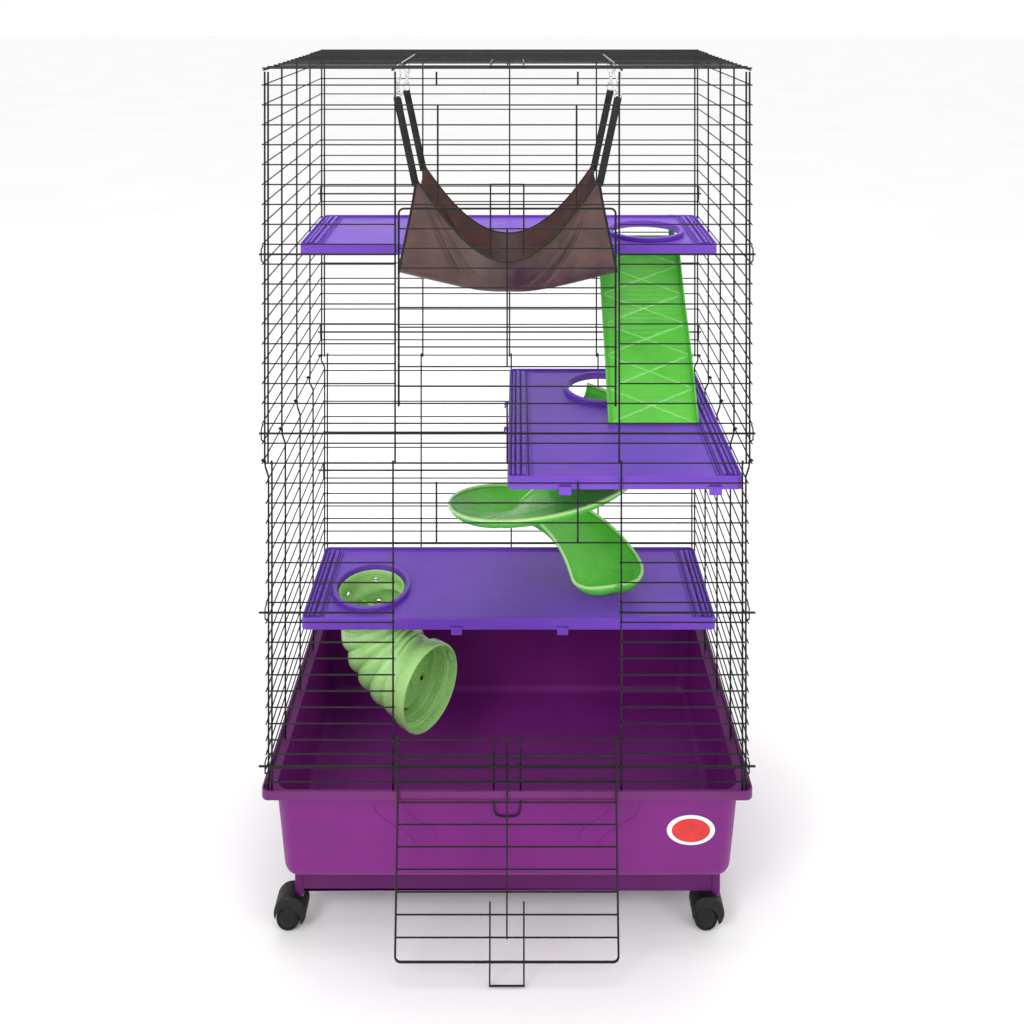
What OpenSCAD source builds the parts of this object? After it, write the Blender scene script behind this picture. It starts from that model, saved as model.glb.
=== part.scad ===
// Tall wire pet cage on a deep plastic tray, with casters, three shelves, a ramp, a spiral slide,
// a tube elbow and a cloth hammock. Millimetres, +Z up, X across the front, -Y towards the user.

/* [Cage] */
// Width between the upper side panels
cage_w = 762; // [740:1:780]
// Depth between the front and back panels
cage_d = 457; // [450:1:465]
// Height of the roof wires above the floor
cage_h = 1393; // [1393:1:1400]
// How far the lower side panels stand inside the upper ones
tier_inset = 6; // [6:1:8]
// Height of the upper panels' lowest wire
joint_z = 773.6; // [773.6:0.1:774]
// Spacing of the cross wires
wire_pitch = 31.2; // [31:0.1:31.2]
// Spacing of the cross wires lower down
mid_pitch = 25.5; // [25.4:0.1:25.5]
// Spacing of the lowest cross wires
low_pitch = 22; // [21.5:0.1:22]

/* [Wires] */
// Radius of a cross wire
cross_r = 1.1; // [1:0.05:1.2]
// Radius of an upright wire
post_r = 1.5; // [1.3:0.05:1.6]
// Radius of a tie wire
tie_r = 1.6; // [1.4:0.05:1.7]
// Radius of a door's frame wire
frame_r = 1.7; // [1.5:0.05:1.8]
// Radius of a latch wire
latch_r = 1.3; // [1.2:0.05:1.4]

/* [Doors] */
// Half the width of a door opening, to its upright wires
opening_x = 176; // [176:1:179]
// Half the width of a door, to its frame wires
door_x = 170; // [168:0.5:170]
// Length of a door from its hinge wire to its top frame
door_l = 305.5; // [304:0.5:306]
// Angle at which the lower door hangs, from straight down
hang_angle = 8.9; // [8.5:0.1:10]
// Half the width of a latch
latch_x = 26; // [24:1:30]

/* [Tray and base] */
// Half the width of the tray's rim
rim_x = 385; // [384:1:388]
// Half the depth of the tray's rim
rim_y = 236.5; // [235:0.5:240]
// Height of the tray's rim
rim_z = 265; // [264:1:266]
// Height of the tray's underside
tray_z = 104; // [100:1:108]
// Wall thickness of the tray
tray_wall = 3; // [2.5:0.5:4]
// Half the distance between the legs, across
leg_x = 336.8; // [330:0.1:340]
// Half the distance between the legs, front to back
leg_y = 172.5; // [165:0.5:175]

/* [Casters] */
// Radius of a wheel
wheel_r = 18.8; // [18.5:0.1:19]
// Distance from the swivel's axis to the wheels' axle
trail = 17; // [16:0.5:18]
// Radius of the caster's stem
stem_r = 4; // [3.5:0.25:4.5]
// Radial clearance of a running fit
run_gap = 0.05; // [0.02:0.01:0.1]

/* [Shelves] */
// Width of the two long shelves
shelf_w = 750; // [748:1:750]
// Depth of the two long shelves
shelf_d = 228; // [226:1:229]
// Width of the middle shelf
mid_w = 372; // [368:1:374]
// Depth of the middle shelf
mid_d = 444; // [440:1:444]
// Height of a shelf's rim
shelf_h = 20; // [18:1:22]
// Radius of the hole in a shelf
hole_r = 65; // [60:0.5:66]
// Height of the upper shelf's underside
upper_z = 1040; // [1040:1:1041]
// Height of the middle shelf's underside
mid_z = 729; // [728:1:730]
// Height of the lower shelf's underside
lower_z = 368; // [367:1:369]

/* [Toys] */
// Width of the ramp
ramp_w = 160; // [150:1:160]
// Outer radius of the tube's bend
tube_r = 68; // [66:0.5:69]
// Outer radius of the tube's neck, through the shelf
neck_r = 61; // [60:0.5:62]
// Radius of the tube's bend
bend_r = 112; // [108:1:116]
// Direction that the tube's mouth faces
tube_turn = -38; // [-45:1:-32]
// Inner radius of the slide
slide_in = 47; // [46:1:50]
// Outer radius of the slide
slide_out = 190; // [187:1:191]
// Turn of the slide from its top to its foot
slide_turn = 412; // [408:1:415]
// Half the depth of the hammock
sling_y = 65; // [60:1:68]

/* [Hidden] */
$fn = 48;

black = [0.03, 0.03, 0.035];
plum = [0.45, 0.12, 0.45];
violet = [0.38, 0.22, 0.75];
leaf = [0.35, 0.75, 0.25];
lime = [0.5, 0.8, 0.35];

gap = 0.05;                              // between wires that cross
lay = cross_r + post_r + gap;            // from a cross wire's plane to its uprights' plane
front_y = cage_d / 2;
side_x = cage_w / 2;
low_x = side_x - tier_inset;             // lower side uprights
corner_x = side_x - 5.5;                 // outermost upright of the upper front and back panels
low_corner_x = low_x - 5.5;
hook_d = 3.3;                            // from a lower upright to the upper one beside it
side_post_y = front_y - hook_d;          // outermost upright of a side panel, inside the tie wires
low_posts = [-low_corner_x, -opening_x - hook_d, opening_x + hook_d, low_corner_x];
side_posts = [-side_post_y, -side_post_y / 2, 0, side_post_y / 2, side_post_y];
row_end = side_x - 0.8;                  // ends of a front cross wire
low_end = low_x - 0.8;
foot_z = 254.1;                          // where the wire feet stand on the tray's ledge
ledge_z = 254;
lip_z = 249;                             // lower edge of the tray's rim
catch_z = 232;                           // foot of the catch under the tray's front rim
upper_rows = [for (k = [0:19]) joint_z + wire_pitch * k];
lower_top = joint_z - wire_pitch;
mid_top = lower_top - 8 * wire_pitch;
lower_hinge_z = mid_top - 6 * mid_pitch;
lower_rows = concat([for (k = [0:8]) lower_top - wire_pitch * k],
                    [for (k = [1:6]) mid_top - mid_pitch * k],
                    [for (k = [1:3]) lower_hinge_z - low_pitch * k]);
upper_hinge_z = joint_z + 3 * wire_pitch;
upper_bound_z = joint_z + 13 * wire_pitch;
lower_bound_z = lower_top - 3 * wire_pitch;
tie_rows_upper = [joint_z + 10.5 * wire_pitch, joint_z + 1.5 * wire_pitch];
tie_rows_lower = [joint_z - 7.5 * wire_pitch, lower_hinge_z - 1.5 * low_pitch - 8];
tie_end = side_x + 8;
loop_h = 13;                             // half the height of a corner loop
loop_out = 3.2;                          // how far a corner loop stands out

// Doors: each is drawn closed, standing on its hinge wire, then placed
door_rows = 10;
door_row0 = 28;
door_pitch = (door_l - door_row0) / (door_rows - 1);
row_u = frame_r + cross_r + gap;         // cross wires stand outside the frame
eye_r = frame_r + cross_r + 0.3;         // mean radius of a hinge eye
corner_cut = 8;                          // rounded top corners of a door
leg_u = row_u + cross_r + latch_r + 0.15;
bar_u = cross_r + latch_r + 0.35;        // the latch's bar lies just outside the panel's wire
guide_r = cross_r + latch_r + 0.15;      // mean radius of a latch's guide hook
guide_row = door_row0 + 7 * door_pitch;
latch_rest = 344;                        // hinge wire to latch bar, closed
latch_back = 4.8;                        // how far the lower latch has slid back
roof_z = cage_h;
roof_hinge_y = 344 - front_y - 2;
roof_pitch = cage_d / 15;
roof_rail_x = 180;                       // roof wires beside the roof door, which carry the hammock

// The whole model is moved so that its box stands centred on the origin
hang_reach = front_y + (latch_rest - latch_back) * sin(hang_angle) - bar_u * cos(hang_angle) + latch_r;
shift_y = (hang_reach - rim_y) / 2;

// Base
skirt_z = 57.5;
leg_z = 49.5;
leg_r = 7.5;
bottom_x = 356;
bottom_y = 211;
top_x = 369;
top_y = 221;
sole_r = 16;                             // bottom corners of the tray
corner_r = 26;                           // upright corners of the tray
badge_at = [290, -217, 189];

// Casters
hood_r = 26;
hood_z = 29.5;
hood_dx = 3.5;
hood_w = 34;
web_w = 4.4;
wheel_w = 13;
axle_r = 3;
stem_top = 68;
casters = [["fl", -1, -1], ["fr", 1, -1], ["bl", -1, 1], ["br", 1, 1]];

// Shelves
plate_t = 3;
plate_z = 13;                            // underside of the plate above a shelf's lowest edge
floor_h = plate_z + plate_t;
rim_t = 3;
rib_h = 6;
collar_r = hole_r + 7.5;
collar_h = 9;
hole_x = 257;
hole_y = 88.5;
long_y = 108;                            // centre of the long shelves, front to back
mid_x = 186;                             // centre of the middle shelf
mid_hole = [178, 123];

// Ramp, slide and tube
ramp_foot = [-25, mid_z + floor_h + 0.3];
ramp_head = [206, 1020];
ramp_hook_x = [187, 328];
ramp_hook_w = 12;
slide_step = 9;                          // degrees of turn to each stretch of its mesh
inner_rim = 24;                          // how far its rims stand above its underside
outer_rim = 28;
slide_axis = [75, 30];
slide_start = 62;                        // direction of the slide's top end, from its axis
slide_fall = [[0, mid_z + plate_z - outer_rim - 1], [0.38, 628], [0.83, 466], [1, lower_z + floor_h + 0.4]];
tube_wall = 2.5;
tube_top_z = lower_z + floor_h + collar_h - 4;
bend_z = lower_z + plate_z - 7;          // where the tube's bend begins
mouth_r = 72;
mouth_l = 24;
mouth_x = bend_r + 16;                   // from the tube's axis to its mouth's collar

// Hammock
sling_mid_y = -98;
sling_t = 4;
hook_y = [sling_mid_y - sling_y, sling_mid_y + sling_y];
sling_top = 1212;                        // the sling's four corners
sling_low = 994;                         // lowest point of the sling
valley_z = [1058, 1100];                 // low points of its front and back walls

// Places children in the model's frame
module place() {
    translate([0, shift_y, 0]) children();
}

// A straight wire between two points
module wire(a, b, r) {
    d = b - a;
    len = norm(d);
    translate(a) rotate([0, acos(d[2] / len), atan2(d[1], d[0])]) cylinder(h = len, r = r, $fn = 24);
}

module wire_x(x0, x1, y, z, r = cross_r) {
    wire([x0, y, z], [x1, y, z], r);
}

module wire_y(y0, y1, x, z, r = cross_r) {
    wire([x, y0, z], [x, y1, z], r);
}

module wire_z(z0, z1, x, y, r = post_r) {
    wire([x, y, z0], [x, y, z1], r);
}

// Corner points of a rounded rectangle about the origin
function round_rect(w, d, r, n = 6) =
    [for (q = [0:3]) for (i = [0:n])
        let (a = 90 * q + 90 * i / n, sx = (q == 0 || q == 3) ? 1 : -1, sy = q < 2 ? 1 : -1)
        [sx * (w / 2 - r) + r * cos(a), sy * (d / 2 - r) + r * sin(a)]];

module slab(w, d, r, h) {
    linear_extrude(h) polygon(round_rect(w, d, r));
}

// Joins rings of equal size into a closed solid
module skin(rings) {
    n = len(rings[0]);
    m = len(rings);
    pts = [for (ring = rings) each ring];
    sides = [for (i = [0:m - 2]) for (j = [0:n - 1])
        let (a = i * n + j, b = i * n + (j + 1) % n)
        each [[a, b, b + n], [a, b + n, a + n]]];
    polyhedron(pts, concat(sides, [[for (j = [n - 1:-1:0]) j]], [[for (j = [0:n - 1]) (m - 1) * n + j]]),
               convexity = 8);
}

// ---- Wire panels ----

// Wires across a front or back panel, cut away at a door opening between low and high
module cross_rows(rows, half, y, low = 0, high = 0, r = cross_r) {
    for (z = rows)
        if (z > low + 1 && z < high - 1)
            for (s = [-1, 1]) wire_x(min(s * opening_x, s * half), max(s * opening_x, s * half), y, z, r);
        else wire_x(-half, half, y, z, r);
}

// Long wires that tie the corner loops together
module tie_wires(rows, s, low, high) {
    cross_rows(rows, tie_end, s * (front_y + tie_r - cross_r), low, high, tie_r);
}

module end_panel_upper(s, door) {
    y = s * front_y;
    yi = s * (front_y - lay);
    cross_rows(upper_rows, row_end, y, door ? upper_hinge_z : 0, door ? upper_bound_z : 0);
    tie_wires(tie_rows_upper, s, door ? upper_hinge_z : 0, door ? upper_bound_z : 0);
    for (x = [-corner_x, -opening_x, opening_x, corner_x]) wire_z(joint_z - 2, roof_z - 6, x, yi);
}

module front_upper_panel() {
    color(black) place() {
        end_panel_upper(-1, true);
        yi = -front_y + lay;
        for (x = [-109, 109]) wire_z(upper_bound_z, upper_rows[18], x, yi);
        for (x = [-111, 111]) wire_z(upper_rows[19], roof_z - 6, x, yi);
        wire_z(joint_z - 2, upper_hinge_z, 0, yi);
    }
}

module back_upper_panel() {
    color(black) place() {
        end_panel_upper(1, false);
        wire_z(joint_z - 2, roof_z - 6, 0, front_y - lay);
    }
}

module end_panel_lower(s, door) {
    y = s * front_y;
    yi = s * (front_y - lay);
    cross_rows(lower_rows, low_end, y, door ? lower_hinge_z : 0, door ? lower_bound_z : 0);
    tie_wires(tie_rows_lower, s, door ? lower_hinge_z : 0, door ? lower_bound_z : 0);
    for (x = low_posts) wire_z(foot_z, joint_z, x, yi);
}

module front_lower_panel() {
    color(black) place() {
        end_panel_lower(-1, true);
        yi = -front_y + lay;
        for (x = [-111, 111]) wire_z(lower_bound_z, lower_top, x, yi);
        for (x = [-21, 0, 21]) wire_z(foot_z, lower_hinge_z, x, yi);
    }
}

module back_lower_panel() {
    color(black) place() {
        end_panel_lower(1, false);
        wire_z(foot_z, joint_z, hook_d, front_y - lay);
    }
}

module side_panel_upper(s) {
    for (z = upper_rows) wire_y(-front_y - 2, front_y + 2, s * (side_x + lay), z);
    for (y = side_posts)
        wire_z(joint_z - 2, roof_z - 6, s * side_x, y);
}

module side_panel_lower(s) {
    bend_z = joint_z - 15.5;
    for (z = lower_rows) wire_y(-front_y - 2, front_y + 2, s * (low_x + lay), z);
    for (y = side_posts) {
        wire_z(foot_z, bend_z - 8.2, s * low_x, y);
        wire([s * low_x, y, bend_z - 7.3], [s * side_x, beside(y), bend_z + 7.3], post_r);
        wire_z(bend_z + 8.2, joint_z, s * side_x, beside(y));
    }
}

// Where a lower side upright ends, on the inner side of the upper one
function beside(y) = y > 0 ? y - hook_d : y + hook_d;

module left_upper_panel() {
    color(black) place() side_panel_upper(-1);
}

module right_upper_panel() {
    color(black) place() side_panel_upper(1);
}

module left_lower_panel() {
    color(black) place() side_panel_lower(-1);
}

module right_lower_panel() {
    color(black) place() side_panel_lower(1);
}

module roof_panel() {
    color(black) place() {
        for (k = [0:15]) {
            y = -front_y + roof_pitch * k;
            edge = k == 0 || k == 15;
            if (k > 1 && y < roof_hinge_y)
                for (s = [-1, 1])
                    wire_x(min(s * roof_rail_x, s * side_x), max(s * roof_rail_x, s * side_x), y, roof_z);
            else wire_x(-side_x - 3, side_x + 3, y, roof_z, edge ? frame_r - 0.4 : cross_r);
        }
        wire_x(-roof_rail_x, roof_rail_x, roof_hinge_y, roof_z);
        for (x = [-side_x, -roof_rail_x, roof_rail_x, side_x])
            wire_y(-front_y - 2, front_y + 2, x, roof_z - lay - 0.3, post_r);
        wire_y(roof_hinge_y, front_y + 2, 0, roof_z - lay - 0.3, post_r);
    }
}

// Half rings that hook the lower panels' uprights over the upper panels' lowest wires
module half_ring(r, wire_r, a = 180) {
    rotate_extrude(angle = a, $fn = 32) translate([r, 0]) circle(r = wire_r, $fn = 20);
}

module tier_hooks() {
    color(black) place() {
        for (s = [-1, 1]) {
            for (x = concat(low_posts, s > 0 ? [hook_d] : []))
                translate([x, s * front_y, joint_z + gap]) rotate([90, 0, 90]) half_ring(lay, post_r);
            for (y = side_posts)
                translate([s * (side_x + lay), beside(y), joint_z + gap]) rotate([90, 0, 0])
                    half_ring(lay, post_r);
        }
    }
}

// Loops on the corner uprights, which the tie wires pass through
module corner_loops() {
    x = side_x + 0.5;
    y = front_y + 2 * tie_r + 0.3;
    color(black) place()
        for (s = [-1, 1]) for (t = [-1, 1]) for (z = concat(tie_rows_upper, tie_rows_lower)) {
            xo = z < joint_z ? x - tier_inset : x;
            wire_z(z - loop_h + 5, z + loop_h - 5, s * (xo + loop_out), t * y, cross_r);
            for (u = [-1, 1])
                wire([s * (xo + loop_out - 0.1), t * (y - 0.2), z + u * (loop_h - 4.4)],
                     [s * (xo + 1.9), t * (side_post_y + post_r), z + u * loop_h], cross_r);
        }
}

// ---- Doors and latches, drawn closed: X across, Z away from the hinge, -Y outwards ----

module door() {
    for (s = [-1, 1]) {
        wire_z(eye_r + gap, door_l - corner_cut - gap, s * door_x, 0, frame_r);
        translate([s * door_x, 0, 0]) rotate([90, -225, 90]) half_ring(eye_r, frame_r, 270);
        translate([s * (door_x - corner_cut), 0, door_l - corner_cut])
            rotate([90, 0, 0]) mirror([s < 0 ? 1 : 0, 0, 0]) half_ring(corner_cut, frame_r, 90);
    }
    wire_x(-door_x + corner_cut + gap, door_x - corner_cut - gap, 0, door_l, frame_r);
    for (k = [0:door_rows - 2]) wire_x(-door_x - 1.5, door_x + 1.5, -row_u, door_row0 + door_pitch * k);
    wire_z(door_row0 + door_pitch, door_row0 + 8 * door_pitch, 0, -row_u + cross_r + frame_r - 0.4 + gap,
           frame_r - 0.4);
}

module latch(l) {
    low = guide_row - 9;                  // height of the guide hooks' bends
    for (s = [-1, 1]) {
        x = s * latch_x;
        wire_z(low, l - 24, x, -leg_u, latch_r);
        wire([x, -leg_u, l - 23.65], [x, -bar_u, l - 12.35], latch_r);
        wire_z(l - 12, l - latch_r - gap, x, -bar_u, latch_r);
        translate([x, guide_r - leg_u, low - gap]) rotate([90, 0, -90]) mirror([0, 1, 0])
            half_ring(guide_r, latch_r);
        wire_z(low, low + 18, x, 2 * guide_r - leg_u, latch_r);
    }
    wire_x(-latch_x - latch_r, latch_x + latch_r, -bar_u, l, latch_r);
}

module at_upper_door() {
    translate([0, -front_y, upper_hinge_z]) children();
}

module at_lower_door() {
    translate([0, -front_y, lower_hinge_z]) rotate([180 - hang_angle, 0, 0]) children();
}

module at_roof_door() {
    translate([0, roof_hinge_y, roof_z]) rotate([90, 0, 0]) mirror([0, 1, 0]) children();
}

module upper_door() {
    color(black) place() at_upper_door() door();
}

module lower_door() {
    color(black) place() at_lower_door() door();
}

module roof_door() {
    color(black) place() at_roof_door() door();
}

module upper_latch() {
    color(black) place() at_upper_door() latch(latch_rest);
}

module lower_latch() {
    color(black) place() at_lower_door() translate([0, 0, -latch_back]) latch(latch_rest);
}

module roof_latch() {
    color(black) place() at_roof_door() latch(latch_rest);
}

// ---- Tray and base ----

module tray_body(inset) {
    r = sole_r - inset;
    hull() {
        for (s = [-1, 1]) for (t = [-1, 1]) {
            translate([s * (bottom_x - sole_r), t * (bottom_y - sole_r), tray_z + sole_r])
                sphere(r = r, $fn = 24);
            translate([s * (top_x - corner_r), t * (top_y - corner_r), ledge_z - tray_wall])
                cylinder(r = corner_r - inset, h = tray_wall + (inset > 0 ? 1 : 0), $fn = 32);
        }
    }
}

module tray() {
    color(plum) place() {
        difference() {
            union() {
                tray_body(0);
                translate([0, 0, ledge_z - tray_wall]) slab(2 * rim_x - 1, 2 * rim_y - 1, 12, tray_wall);
                difference() {
                    translate([0, 0, lip_z]) slab(2 * rim_x, 2 * rim_y, 12, rim_z - lip_z);
                    translate([0, 0, lip_z - 1])
                        slab(2 * (rim_x - tray_wall), 2 * (rim_y - tray_wall), 9, rim_z - lip_z + 2);
                }
                for (s = [-1, 1]) translate([s * 21 - 1.5, -top_y - 8, catch_z]) cube([3, 9, 20]);
            }
            tray_body(tray_wall);
        }
    }
}

// Skirt plates between four legs, each leg bored for a caster's stem
module base_skirt() {
    h = tray_z - skirt_z - 0.2;
    color(plum) place() {
        for (s = [-1, 1]) {
            translate([-leg_x + leg_r + gap, s * (leg_y + 4.5) - 1.5, skirt_z])
                cube([2 * (leg_x - leg_r - gap), 3, h]);
            translate([s * (leg_x + 4.5) - 1.5, -leg_y + leg_r + gap, skirt_z])
                cube([3, 2 * (leg_y - leg_r - gap), h]);
            for (t = [-1, 1]) translate([s * leg_x, t * leg_y, leg_z]) difference() {
                cylinder(r = leg_r, h = tray_z - leg_z - 0.2);
                translate([0, 0, -1]) cylinder(r = stem_r + run_gap, h = stem_top - leg_z + 2);
            }
        }
    }
}

// Plain oval badge on the tray's front wall
module badge() {
    tilt = atan((top_y - bottom_y) / (ledge_z - tray_z));
    color("silver") place() translate(badge_at) rotate([90 + tilt, 0, 0])
        linear_extrude(1.2) polygon([for (a = [0:10:350]) [38 * cos(a), 25 * sin(a)]]);
}

// ---- Casters ----

module at_caster(c) {
    place() translate([c[1] * leg_x, c[2] * leg_y, 0]) children();
}

module caster_housing(c) {
    color(black) at_caster(c) union() {
        difference() {
            translate([hood_dx - trail, 0, hood_z]) rotate([90, 0, 0])
                cylinder(r = hood_r, h = hood_w, center = true);
            for (s = [-1, 1]) translate([-trail, s * (hood_w + web_w) / 2, wheel_r]) rotate([90, 0, 0])
                cylinder(r = wheel_r + 1.3, h = hood_w, center = true);
            translate([-trail, 0, wheel_r]) rotate([90, 0, 0])
                cylinder(r = axle_r, h = hood_w, center = true);
            translate([-2 * hood_r - trail, -hood_w, -hood_r]) cube([4 * hood_r, 2 * hood_w, hood_r + 14]);
            translate([0, 0, leg_z - 2.3]) cylinder(r = leg_r + 1.1, h = 30);
        }
        translate([0, 0, leg_z - 8]) cylinder(r = stem_r, h = stem_top - leg_z + 8);
    }
}

module caster_axle(c) {
    color("gray") at_caster(c) translate([-trail, 0, wheel_r]) rotate([90, 0, 0])
        cylinder(r = axle_r, h = hood_w - 3, center = true);
}

module caster_wheels(c) {
    hub = axle_r + run_gap;
    color(black) at_caster(c) translate([-trail, 0, wheel_r])
        for (s = [-1, 1]) translate([0, s * (web_w / 2 + 0.4), 0]) rotate([-90 * s, 0, 0])
            rotate_extrude() polygon([[hub, 0], [wheel_r - 1, 0], [wheel_r, 1], [wheel_r, wheel_w - 1.5],
                [wheel_r - 1.5, wheel_w], [wheel_r - 3, wheel_w], [wheel_r - 4, wheel_w - 1],
                [hub, wheel_w - 1]]);
}

// ---- Shelves ----

// A shelf about its centre, with a collared hole and ribs beside its two ends
module shelf(w, d, hole) {
    difference() {
        union() {
            translate([0, 0, plate_z]) slab(w - 2, d - 2, 9, plate_t);
            difference() {
                slab(w, d, 10, shelf_h);
                translate([0, 0, -1]) slab(w - 2 * rim_t, d - 2 * rim_t, 7, shelf_h + 2);
            }
            for (s = [-1, 1]) for (k = [0:2])
                translate([s * (w / 2 - 14 - 9 * k) - 1.5, -d / 2 + 12, plate_z + 1])
                    cube([3, d - 24, rib_h]);
            translate([hole[0], hole[1], plate_z]) cylinder(r = collar_r, h = plate_t + collar_h);
        }
        translate([hole[0], hole[1], -1]) cylinder(r = hole_r, h = shelf_h + 20);
    }
}

// Two clips that hang over a front cross wire, inside the wires
module shelf_clips(xs, y, z) {
    for (x = xs) translate([x - 9, y, z - 8]) cube([18, 3.2, 14]);
}

module upper_shelf() {
    color(violet) place() translate([0, long_y, upper_z]) shelf(shelf_w, shelf_d, [hole_x, hole_y - long_y]);
}

module middle_shelf() {
    color(violet) place() translate([mid_x, 0, mid_z]) {
        shelf(mid_w, mid_d, mid_hole - [mid_x, 0]);
        shelf_clips([-95, 142], -mid_d / 2, 1);
    }
}

module lower_shelf() {
    color(violet) place() translate([0, long_y, lower_z]) {
        shelf(shelf_w - tier_inset, shelf_d, [-hole_x - 2, hole_y - long_y]);
        shelf_clips([-93, 97], -shelf_d / 2, 1);
    }
}

// ---- Ramp, slide, tube ----

module ramp() {
    run = ramp_head[0] - ramp_foot[0];
    rise = ramp_head[1] - ramp_foot[1];
    l = norm([run, rise]);
    rungs = 14;
    hook_z = ramp_head[1] - 6;
    over_z = joint_z + 9 * wire_pitch + 1.6;  // just above the wire the ramp hangs on
    color(leaf) place() {
        translate([hole_x - ramp_w / 2, ramp_foot[0], ramp_foot[1]]) rotate([atan(rise / run), 0, 0]) {
            cube([ramp_w, l, 3]);
            for (x = [0, ramp_w - 3]) translate([x, 0, 0]) cube([3, l, 11]);
            for (k = [1:rungs - 1]) translate([2, l * k / rungs - 1, 2]) cube([ramp_w - 4, 2, 2.5]);
        }
        for (x = ramp_hook_x) translate([x - ramp_hook_w / 2, 0, 0]) {
            translate([0, ramp_head[0] - 3, hook_z]) cube([ramp_hook_w, 20, 4]);
            translate([0, front_y - 5.9, hook_z]) cube([ramp_hook_w, 3, over_z + 3 - hook_z]);
            translate([0, front_y - 5.9, over_z]) cube([ramp_hook_w, 9, 3]);
            translate([0, front_y + 1.6, over_z - 6]) cube([ramp_hook_w, 2, 8]);
        }
    }
}

// Cross-section of the slide's channel, from its inner rim round to its outer rim and back
function channel(r0, r1) = [[r0, inner_rim], [r0 + 3, inner_rim], [r0 + 8, 7], [r0 + 30, 3], [r1 - 34, 3],
    [r1 - 9, 9], [r1 - 3, outer_rim], [r1, outer_rim], [r1 - 5, 6], [r1 - 33, 0], [r0 + 29, 0], [r0 + 4, 4]];

// One stretch of the slide; t runs from 0 at the top to 1 at the foot
function slide_ring(t) =
    let (a = slide_start - slide_turn * t,
         z = lookup(t, slide_fall))
    [for (p = channel(slide_in, slide_out))
        [slide_axis[0] + p[0] * cos(a), slide_axis[1] + p[0] * sin(a), z + p[1]]];

module slide_part(t0, t1) {
    steps = ceil((t1 - t0) * slide_turn / slide_step);
    skin([for (i = [0:steps]) slide_ring(t0 + (t1 - t0) * i / steps)]);
}

module slide_upper() {
    color(leaf) place() slide_part(0, 0.498);
}

module slide_lower() {
    color(leaf) place() slide_part(0.5, 1);
}

module at_tube() {
    place() translate([-hole_x - 2, hole_y, 0]) rotate([0, 0, tube_turn]) children();
}

// Neck through the shelf between two shoulders, a quarter bend, and a collar round the mouth
module tube_elbow() {
    shoulder_z = lower_z + plate_z - 2;
    inner = tube_r - tube_wall;
    bore = neck_r - tube_wall;
    color(lime) at_tube() {
        translate([bend_r, 0, bend_z]) rotate([90, 180, 0]) rotate_extrude(angle = 90)
            translate([bend_r, 0]) difference() {
                circle(r = tube_r);
                circle(r = inner);
            }
        rotate_extrude() polygon([[inner, bend_z], [tube_r, bend_z], [tube_r, shoulder_z],
            [neck_r, shoulder_z], [neck_r, tube_top_z], [bore, tube_top_z], [bore, shoulder_z - 2],
            [inner, shoulder_z - 2]]);
        translate([bend_r, 0, bend_z - bend_r]) rotate([0, 90, 0]) rotate_extrude()
            polygon([[inner, 0], [tube_r, 0], [tube_r, mouth_x - bend_r], [mouth_r, mouth_x - bend_r],
                [mouth_r, mouth_x - bend_r + mouth_l], [inner, mouth_x - bend_r + mouth_l]]);
    }
}

// ---- Hammock ----

function valley(x, low) = low + (sling_top - low) * pow(sin(90 * min(1, abs(x) / 150)), 2);
function belly(x) = sling_low + 54 * pow(abs(x) / 178, 1.5);

module sling_wall(low) {
    xs = [for (i = [-10:10]) 15 * i];
    linear_extrude(sling_t) polygon(concat([for (x = xs) [x, valley(x, low)]],
        [[168, 1185], [176, 1130]], [for (i = [10:-1:-10]) [17.8 * i, belly(17.8 * i)]],
        [[-176, 1130], [-168, 1185]]));
}

module hammock_sling() {
    d = 2 * sling_y;
    color([0.25, 0.1, 0.08]) place() translate([0, sling_mid_y, 0]) {
        translate([0, -sling_y + sling_t, 0]) rotate([90, 0, 0]) sling_wall(valley_z[0]);
        translate([0, sling_y, 0]) rotate([90, 0, 0]) sling_wall(valley_z[1]);
        translate([0, sling_y - 0.5, 0]) rotate([90, 0, 0]) linear_extrude(d - 1)
            polygon(concat([for (i = [-10:10]) [17.8 * i, belly(17.8 * i) + sling_t]],
                           [for (i = [10:-1:-10]) [17.8 * i, belly(17.8 * i)]]));
    }
}

module hammock_straps() {
    top = [172, 1326];
    foot = [152, sling_top + 0.5];
    d = top - foot;
    color(black) place() for (y = hook_y) for (s = [-1, 1])
        translate([s * foot[0], y, foot[1]]) rotate([0, s * atan2(d[0], d[1]), 0])
            translate([-7, -1, 0]) cube([14, 2, norm(d)]);
}

// Swivel snap hooks on the roof's rails
module hammock_hooks() {
    ring = 5;
    rail_z = roof_z - lay - 0.3;
    z = rail_z - (ring - 2 * post_r - 0.2);
    color("silver") place() for (y = hook_y) for (s = [-1, 1]) translate([s * roof_rail_x, y, z]) {
        rotate([90, 0, 0]) half_ring(ring, post_r, 360);
        translate([0, 0, -38]) cylinder(r = 3, h = 32);
        translate([0, 0, -39.5]) cylinder(r = 5, h = 1.4);
        translate([0, 0, -46]) rotate([90, 0, 0]) half_ring(5, 1.4, 360);
    }
}

tray();
base_skirt();
badge();
front_upper_panel();
back_upper_panel();
left_upper_panel();
right_upper_panel();
front_lower_panel();
back_lower_panel();
left_lower_panel();
right_lower_panel();
roof_panel();
tier_hooks();
corner_loops();
upper_door();
lower_door();
roof_door();
upper_latch();
lower_latch();
roof_latch();
upper_shelf();
middle_shelf();
lower_shelf();
ramp();
slide_upper();
slide_lower();
tube_elbow();
hammock_sling();
hammock_straps();
hammock_hooks();
for (c = casters) {
    caster_housing(c);
    caster_axle(c);
    caster_wheels(c);
}
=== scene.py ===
# A tall wire pet cage: black enamelled wire, moulded plastic shelves and toys, and a satin hammock.
import math

import bmesh
import bpy
from mathutils import Matrix, Vector, noise


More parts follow.
